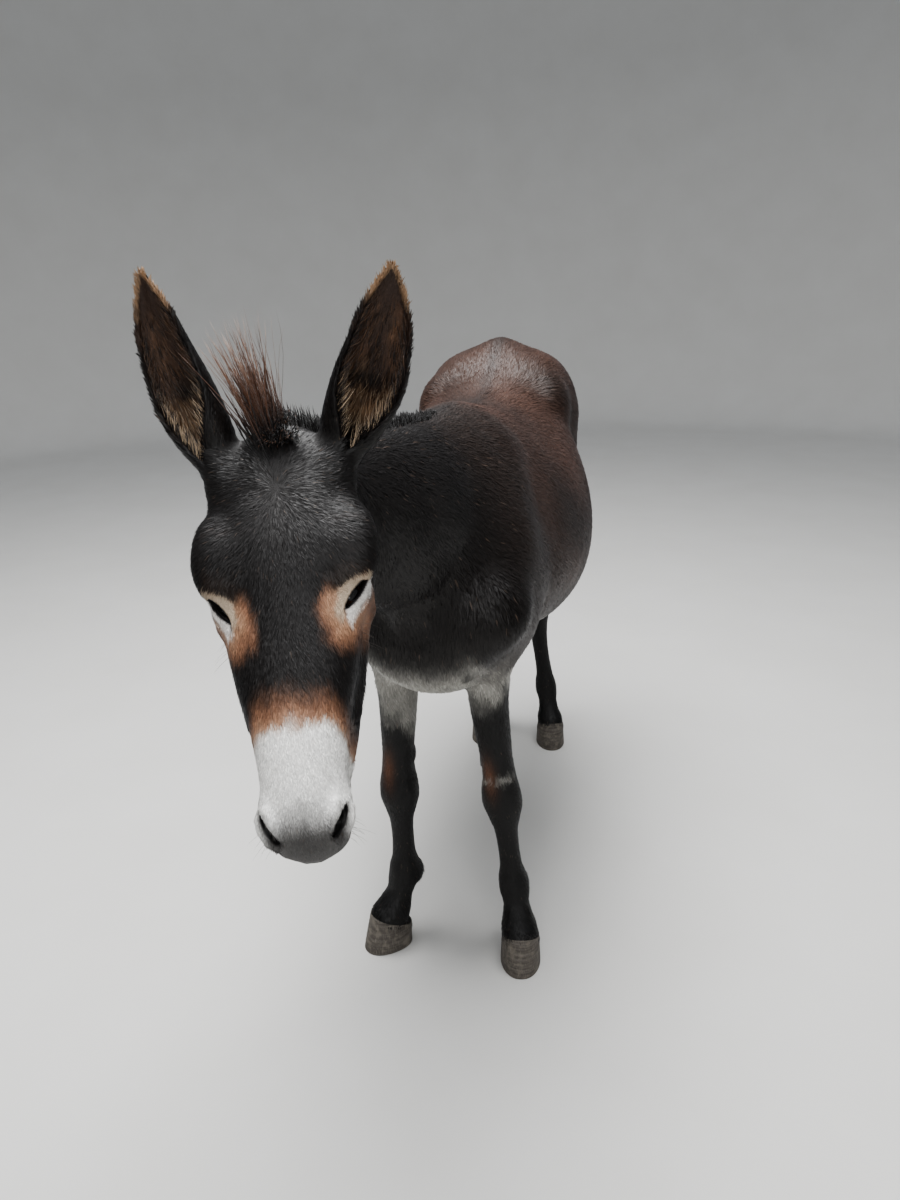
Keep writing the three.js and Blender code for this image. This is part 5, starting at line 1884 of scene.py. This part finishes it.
def make_ear_hair():
    """Fine streaky hair inside the ears, and a fringe along their rims."""
    for s, ear in EAR_OF.items():
        rng = np.random.default_rng(30 + s)
        count = LOCKS["ear"]
        t = 0.08 + 0.72 * rng.uniform(0, 1, count) ** 1.3
        edge = rng.uniform(0, 1, count) < 0.6
        turn = np.where(edge, rng.uniform(0.74, 0.99, count), rng.uniform(0, 0.74, count))
        turn = turn * np.where(rng.uniform(0, 1, count) < 0.5, -1, 1)
        wide, deep, wrap = ear.curve.read(t)
        angle = turn * np.radians(wrap)
        middle, along, aside, opens = ear.frame(t)
        wide, deep = wide - EAR_THICK / 2 - 2.4, deep - EAR_THICK / 2 - 2.4
        roots = (middle + aside * (wide * np.sin(angle))[:, None]
                 - opens * (deep * np.cos(angle))[:, None])
        inward = -aside * np.sin(angle)[:, None] + opens * np.cos(angle)[:, None]
        ways = unit(along * 0.9 + inward * 0.55 + rng.normal(0, 0.16, (count, 3)))
        length = rng.uniform(12, 30, count) * np.interp(t, [0, 0.45, 0.85], [1.35, 1.0, 0.45])
        made = locks(roots, ways, length, rng.uniform(0.35, 0.75, count), along,
                     rng.uniform(0.2, 0.8, count), 5, rng, 0.12)
        tint = rng.uniform(0, 1, count)[made[4]]
        low = ease((0.42 - t) / 0.2)[made[4]]
        colour = mix((0.020, 0.012, 0.009), (0.15, 0.085, 0.050), ease((tint - 0.45) / 0.5))
        colour = mix(colour, (0.50, 0.38, 0.26), low * ease((tint - 0.3) / 0.3))
        hair_piece(f"ear_hair_{SIDE_NAME[s]}", "coat", made, colour)


def make_lashes():
    """Lashes along each upper lid, and sparse whiskers on lips, chin and under the eyes."""
    rng = np.random.default_rng(41)
    for s, eye in EYE_OF.items():
        count = LOCKS["lashes"]
        along = np.linspace(-18, 22, count) + rng.normal(0, 0.7, count)
        top, _ = eye.lid_lines(along)
        roots = eye.on_lid(along, top + rng.uniform(0.2, 1.4, count), EYE_RADIUS + 2.4)
        ways = unit(eye.out * 1.0 + eye.up * 0.1 + eye.along * (along / 38)[:, None]
                    + rng.normal(0, 0.1, (count, 3)))
        made = locks(roots, ways, rng.uniform(7, 14, count), rng.uniform(0.2, 0.32, count),
                     -eye.up * 0.35 + eye.out * 0.8, 0.6, 6, rng, 0.03)
        colour = np.tile((0.010, 0.008, 0.0075), (len(made[0]), 1))
        hair_piece(f"lashes_{SIDE_NAME[s]}", "mane", made, colour)
    roots, ways = [], []
    for s in SIDE_NAME:
        for low, high, number in (((440, -118, 14), (486, -92, 40), 26),
                                  ((452, -76, 46), (488, -50, 40), 7),
                                  ((236, -66, 66), (262, -62, 80), 9)):
            share = rng.uniform(0, 1, (number, 3))
            at = (np.array(low) * (1 - share) + np.array(high) * share) * (1, 1, s)
            for place in at:
                roots.append(on_head(*place))
                ways.append(unit(np.array([0.35, -0.5, s * 0.9])) @ HEAD_AXES)
    roots, ways = np.array(roots), np.array(ways) + rng.normal(0, 0.15, (len(roots), 3))
    made = locks(roots, unit(ways), rng.uniform(14, 34, len(roots)),
                 rng.uniform(0.13, 0.2, len(roots)), -UP, 0.35, 7, rng, 0.03)
    colour = np.tile((0.10, 0.09, 0.08), (len(made[0]), 1))
    hair_piece("whiskers", "mane", made, colour)


def make_lid_rims():
    """A smooth dark rim round each eye's opening: a tube along both lid lines."""
    shader = Shader("donkey_lid_rim")
    wet = shader.noise(shader.place(), 700, 2)
    material = shader.surface(
        {"Base Color": (0.012, 0.0095, 0.009, 1), "Specular IOR Level": 0.5},
        roughness=0.24 + wet * 0.2, normal=shader.bump(wet, 0.2, 0.0006),
    )
    half, sides = 40, 10
    angle = full_turn(2 * half)
    for s, eye in EYE_OF.items():
        along = SLIT_HALF * 1.02 * np.cos(angle)
        top, bottom = eye.lid_lines(along)
        up = np.where(np.sin(angle) >= 0, top + 0.3, bottom - 0.3)
        line = eye.on_lid(along, up, EYE_RADIUS + 1.6)
        ahead = unit(np.roll(line, -1, 0) - np.roll(line, 1, 0))
        away = unit(line - eye.middle)
        aside = unit(np.cross(ahead, away))
        turn = full_turn(sides)
        wall = 1.25 * (np.cos(turn)[:, None, None] * aside
                       + 1.25 * np.sin(turn)[:, None, None] * away)
        points = (line + wall).transpose(1, 0, 2).reshape(-1, 3)
        i = np.arange(2 * half)[:, None]
        j = np.arange(sides)
        n, k = (i + 1) % (2 * half), (j + 1) % sides
        quads = np.stack([i * sides + j, i * sides + k, n * sides + k, n * sides + j], -1)
        piece = make_piece(f"lid_rim_{SIDE_NAME[s]}", "eye", points, quads,
                           np.full(2 * half * sides, 4), material=material)
        turn_out(piece.data)


# ---- Eyes --------------------------------------------------------------------------------------
def make_eyes(options):
    """Eyeballs: a sphere of rings round the gaze, with the cornea raised in front.

    The radius is the eye's own plus 1.3 times the square of the cosine beyond 35 degrees.
    """
    material = eye_material(options)
    for s, eye in EYE_OF.items():
        around_by, rings = 72, 48
        tilt = np.linspace(0, math.pi, rings + 1)[1:-1]
        turn = full_turn(around_by)
        raised = 1.2 * ease((math.radians(38) - tilt) / math.radians(16))
        radius = EYE_RADIUS - 0.6 + raised
        a = np.outer(np.sin(tilt) * radius, np.cos(turn))
        b = np.outer(np.sin(tilt) * radius, np.sin(turn))
        c = np.repeat((np.cos(tilt) * radius)[:, None], around_by, 1)
        grid = np.stack([a, b, c], -1).reshape(-1, 3)
        grid = np.concatenate([grid, [[0, 0, EYE_RADIUS + 0.6], [0, 0, -EYE_RADIUS]]])
        points = (eye.middle + grid[:, :1] * eye.along + grid[:, 1:2] * eye.up
                  + grid[:, 2:] * eye.out)
        faces = closed_faces(rings - 1, around_by)
        if s < 0:  # keeps the faces outwards where the axes are mirrored
            faces = [group[:, ::-1] for group in faces]
        side = SIDE_NAME[s]
        piece = make_piece(f"eyeball_{side}", "eye", points, *run_of(faces),
                           replaced=[f"eye_{side}"], material=material)
        set_uv(piece.data, "gaze", grid[:, :2] / EYE_RADIUS)


# ---- Hoofs -------------------------------------------------------------------------------------
def hoof_points(share, angle):
    """Points of the wall at shares of its height and angles from the toe.

    Across it is the half width times the sine to a power; along it the toe or heel length times
    the cosine, longer low down by the flare; its top slopes from toe to heel.
    """
    low = share < 1e-6
    growth_ring = 0.45 * np.sin(share * 46 + 2 * np.sin(angle)) * (share > 0.05) * (share < 0.97)
    wide = HOOF_HALF - 3 * share - 1.5 * low - 0.4 + 0.6 * growth_ring - 0.3
    toe = HOOF_TOE + HOOF_FLARE * (1 - share) * 0.62 - 1.5 * low - 14.6 + growth_ring
    heel = HOOF_HEEL - 8 + 3 * share - 0.6
    along, across = np.cos(angle), np.sin(angle)
    y = np.where(along > 0, -along * toe, np.abs(along) ** 0.82 * heel)
    power = np.where(along > 0, 0.92, 0.8)
    x = np.sign(across) * np.abs(across) ** power * wide
    top = (CORONET_FRONT + CORONET_BACK) / 2 - y / HOOF_HALF * (CORONET_FRONT - CORONET_BACK) / 2
    return x, y, top * share


def make_hoofs(options):
    """The horn of each hoof, closed above by a sunk coronet and below by a flat sole."""
    material = hoof_material(options)
    shares = np.concatenate([[0, 0.02], np.linspace(0.05, 0.96, 30), [0.985, 1.0]])
    around_by = 96
    turn = full_turn(around_by)
    for leg in LEGS:
        share, angle = np.meshgrid(shares, turn, indexing="ij")
        x, y, z = hoof_points(share, angle)
        shape = np.stack([x, y, z], -1)
        sink = shape[-1] * (0.82, 0.82, 1) - (0, 0, 7)
        sole = shape[0] * (0.4, 0.4, 1)
        shape = np.concatenate([sole[None], shape, sink[None]])
        low = leg.middle(FOOT)
        x, y, z = shape.reshape(-1, 3).T
        x, y = leg.turned(x, y)
        points = np.stack([low[0] + x, low[1] + y, z], 1)
        middle_low, middle_high = points[:around_by].mean(0), points[-around_by:].mean(0)
        points = np.concatenate([points, [middle_low, middle_high]])
        name = f"{leg.kind}_{SIDE_NAME[leg.s]}"
        piece = make_piece(f"horn_{name}", "hoof", points,
                           *run_of(closed_faces(len(shape), around_by)),
                           replaced=[f"hoof_{name}"], material=material)
        turn_out(piece.data)


def turn_out(mesh):
    """Turns a closed mesh's faces outwards if its volume comes out negative."""
    points, _, triangles = read_mesh(mesh)
    a, b, c = (points[triangles[:, i]] for i in range(3))
    if np.einsum("ij,ij->i", a, np.cross(b, c)).sum() < 0:
        mesh.flip_normals()


# ---- Stage -------------------------------------------------------------------------------------
CAMERA = np.array([345.98, -1488.06, 1350.0])
CAMERA_TURN, CAMERA_DROP, CAMERA_ROLL = np.radians([12.005, 20.0, 1.5])
RIM, WALL_RUN, WALL_HEIGHT = 6.5, 3.4, 11  # the floor's, in metres


def make_floor(options):
    """A pale floor that curves up into a wall all round, far from the donkey.

    A ring's height is 0 up to the rim, then the wall's height times the eased share of its run,
    to the power 1.5.
    """
    around_by = 96
    reach = np.concatenate([[0.4], np.linspace(2, RIM, 6), np.linspace(RIM + 0.2, RIM + 3, 24)])
    height = WALL_HEIGHT * ease((reach - RIM) / WALL_RUN) ** 1.5
    turn = full_turn(around_by)
    x = np.outer(reach, np.cos(turn))
    y = np.outer(reach, np.sin(turn))
    z = np.repeat(height[:, None], around_by, 1)
    points = np.concatenate([np.stack([x, y, z], -1).reshape(-1, 3), [[0, 0, 0]]])
    quads, cap, _ = closed_faces(len(reach), around_by)
    mesh = bpy.data.meshes.new("floor")
    mesh.from_pydata(points.tolist(), [], quads.tolist() + cap.tolist())
    mesh.shade_smooth()
    floor = bpy.data.objects.new("floor", mesh)
    bpy.context.scene.collection.objects.link(floor)
    shader = Shader("studio_floor")
    speck = shader.noise(shader.place(), 3.0, 4)
    colour = shader.mixed(speck, (*options.floor_colour, 1), (0.60, 0.59, 0.57, 1))
    mesh.materials.append(shader.surface({"Roughness": 0.85, "Specular IOR Level": 0.2},
                                         colour=colour))


def make_light(name, place, target, size, power, colour=(1, 1, 1)):
    """A soft square light aimed at a target."""
    light = bpy.data.lights.new(name, "AREA")
    light.shape = "SQUARE"
    light.size, light.energy, light.color = size, power, colour
    lamp = bpy.data.objects.new(name, light)
    way = Vector(target) - Vector(place)
    lamp.matrix_world = way.to_track_quat("-Z", "Y").to_matrix().to_4x4()
    lamp.location = place
    bpy.context.scene.collection.objects.link(lamp)


def make_camera(options):
    """A camera at head height in front, turned to the left, tipped down and slightly rolled."""
    ahead = np.array([-math.sin(CAMERA_TURN), math.cos(CAMERA_TURN), 0])
    right = np.array([math.cos(CAMERA_TURN), math.sin(CAMERA_TURN), 0])
    view = ahead * math.cos(CAMERA_DROP) - UP * math.sin(CAMERA_DROP)
    up = UP * math.cos(CAMERA_DROP) + ahead * math.sin(CAMERA_DROP)
    right, up = (right * math.cos(CAMERA_ROLL) - up * math.sin(CAMERA_ROLL),
                 up * math.cos(CAMERA_ROLL) + right * math.sin(CAMERA_ROLL))
    at = to_scene(CAMERA)
    rows = [[right[i], up[i], -view[i], at[i]] for i in range(3)] + [[0, 0, 0, 1]]
    camera = bpy.data.cameras.new("camera")
    camera.lens, camera.sensor_width, camera.clip_start = options.lens, 36, 0.05
    eye = bpy.data.objects.new("camera", camera)
    eye.matrix_world = Matrix(rows)
    bpy.context.scene.collection.objects.link(eye)
    bpy.context.scene.camera = eye


# ---- The add-on --------------------------------------------------------------------------------
class DonkeyOptions(bpy.types.PropertyGroup):
    """Sizes and colours of the donkey."""

    skin_faces: bpy.props.IntProperty(
        name="Skin faces", description="How many triangles the skin keeps",
        default=190_000, min=20_000, max=199_000,
    )
    coat_density: bpy.props.FloatProperty(
        name="Coat density", description="Share of the full number of tufts",
        default=1.0, min=0.05, max=1.0, subtype="FACTOR",
    )
    coat_sheen: bpy.props.FloatProperty(
        name="Coat sheen", description="How much pale light the coat's edges give back",
        default=0.045, min=0.0, max=1.0, subtype="FACTOR",
    )
    iris_colour: bpy.props.FloatVectorProperty(
        name="Iris colour", description="Lighter colour in the iris",
        default=(0.075, 0.034, 0.018), size=3, subtype="COLOR", min=0.0, max=1.0,
    )
    hoof_colour: bpy.props.FloatVectorProperty(
        name="Hoof colour", description="Colour of clean horn",
        default=(0.115, 0.102, 0.09), size=3, subtype="COLOR", min=0.0, max=1.0,
    )


class StageOptions(bpy.types.PropertyGroup):
    """Floor, lights and camera."""

    floor_colour: bpy.props.FloatVectorProperty(
        name="Floor colour", description="Colour of the pale floor",
        default=(0.66, 0.655, 0.64), size=3, subtype="COLOR", min=0.0, max=1.0,
    )
    lamp_power: bpy.props.FloatProperty(
        name="Main light", description="Power of the soft light overhead",
        default=240.0, min=0.0, unit="POWER",
    )
    lens: bpy.props.FloatProperty(
        name="Lens", description="Focal length of the camera",
        default=27.0, min=10.0, max=200.0, subtype="DISTANCE_CAMERA", unit="CAMERA",
    )


class DONKEY_OT_skin(bpy.types.Operator):
    """Makes the one skin over body, head, legs, ears and tail"""

    bl_idname = "donkey.skin"
    bl_label = "Skin"

    def execute(self, context):
        make_skin(context.scene.donkey)
        return {"FINISHED"}


class DONKEY_OT_eyes(bpy.types.Operator):
    """Makes the eyeballs and the rims of the lids"""

    bl_idname = "donkey.eyes"
    bl_label = "Eyes"

    def execute(self, context):
        make_eyes(context.scene.donkey)
        make_lid_rims()
        return {"FINISHED"}


class DONKEY_OT_hoofs(bpy.types.Operator):
    """Makes the horn of the four hoofs"""

    bl_idname = "donkey.hoofs"
    bl_label = "Hoofs"

    def execute(self, context):
        make_hoofs(context.scene.donkey)
        return {"FINISHED"}


class DONKEY_OT_coat(bpy.types.Operator):
    """Sows the short coat over the skin"""

    bl_idname = "donkey.coat"
    bl_label = "Coat"

    def execute(self, context):
        make_coat(context.scene.donkey)
        return {"FINISHED"}


class DONKEY_OT_long_hair(bpy.types.Operator):
    """Makes mane, forelock, tail switch, hair of coronets and ears, lashes and whiskers"""

    bl_idname = "donkey.long_hair"
    bl_label = "Long hair"

    def execute(self, context):
        make_mane()
        make_tail()
        make_coronet_hair()
        make_ear_hair()
        make_lashes()
        return {"FINISHED"}


class DONKEY_OT_stage(bpy.types.Operator):
    """Makes the floor, the lights and the camera"""

    bl_idname = "donkey.stage"
    bl_label = "Stage"

    def execute(self, context):
        options = context.scene.donkey_stage
        make_floor(options)
        make_light("overhead", (-0.3, 0.2, 3.9), (0, -0.1, 0.7), 2.6, options.lamp_power)
        make_light("front_fill", (0.9, -4.4, 3.0), (0, -0.4, 0.6), 3.0, options.lamp_power * 0.35)
        world = bpy.data.worlds.new("studio")
        world.use_nodes = True
        world.node_tree.nodes["Background"].inputs["Color"].default_value = (0.86, 0.92, 1, 1)
        world.node_tree.nodes["Background"].inputs["Strength"].default_value = 0.42
        bpy.context.scene.world = world
        bpy.context.scene.view_settings.look = "AgX - Medium High Contrast"
        make_camera(options)
        return {"FINISHED"}


class DONKEY_PT_panel(bpy.types.Panel):
    """Lists the donkey's pieces and settings"""

    bl_label = "Donkey"
    bl_idname = "DONKEY_PT_panel"
    bl_space_type = "VIEW_3D"
    bl_region_type = "UI"
    bl_category = "Donkey"

    def draw(self, context):
        for operator in OPERATORS:
            self.layout.operator(operator.bl_idname)
        for group, names in ((context.scene.donkey, DonkeyOptions.__annotations__),
                             (context.scene.donkey_stage, StageOptions.__annotations__)):
            for name in names:
                self.layout.prop(group, name)


OPERATORS = [DONKEY_OT_skin, DONKEY_OT_eyes, DONKEY_OT_hoofs, DONKEY_OT_coat,
             DONKEY_OT_long_hair, DONKEY_OT_stage]
CLASSES = [DonkeyOptions, StageOptions, *OPERATORS, DONKEY_PT_panel]


def register():
    """Adds the classes and the two groups of settings."""
    for each in CLASSES:
        bpy.utils.register_class(each)
    bpy.types.Scene.donkey = bpy.props.PointerProperty(type=DonkeyOptions)
    bpy.types.Scene.donkey_stage = bpy.props.PointerProperty(type=StageOptions)


def unregister():
    """Takes them away again."""
    del bpy.types.Scene.donkey_stage
    del bpy.types.Scene.donkey
    for each in reversed(CLASSES):
        bpy.utils.unregister_class(each)


def main():
    """Makes every piece in turn."""
    register()
    bpy.ops.donkey.skin()
    bpy.ops.donkey.eyes()
    bpy.ops.donkey.hoofs()
    bpy.ops.donkey.long_hair()
    bpy.ops.donkey.coat()
    bpy.ops.donkey.stage()


if __name__ == "__main__":
    main()
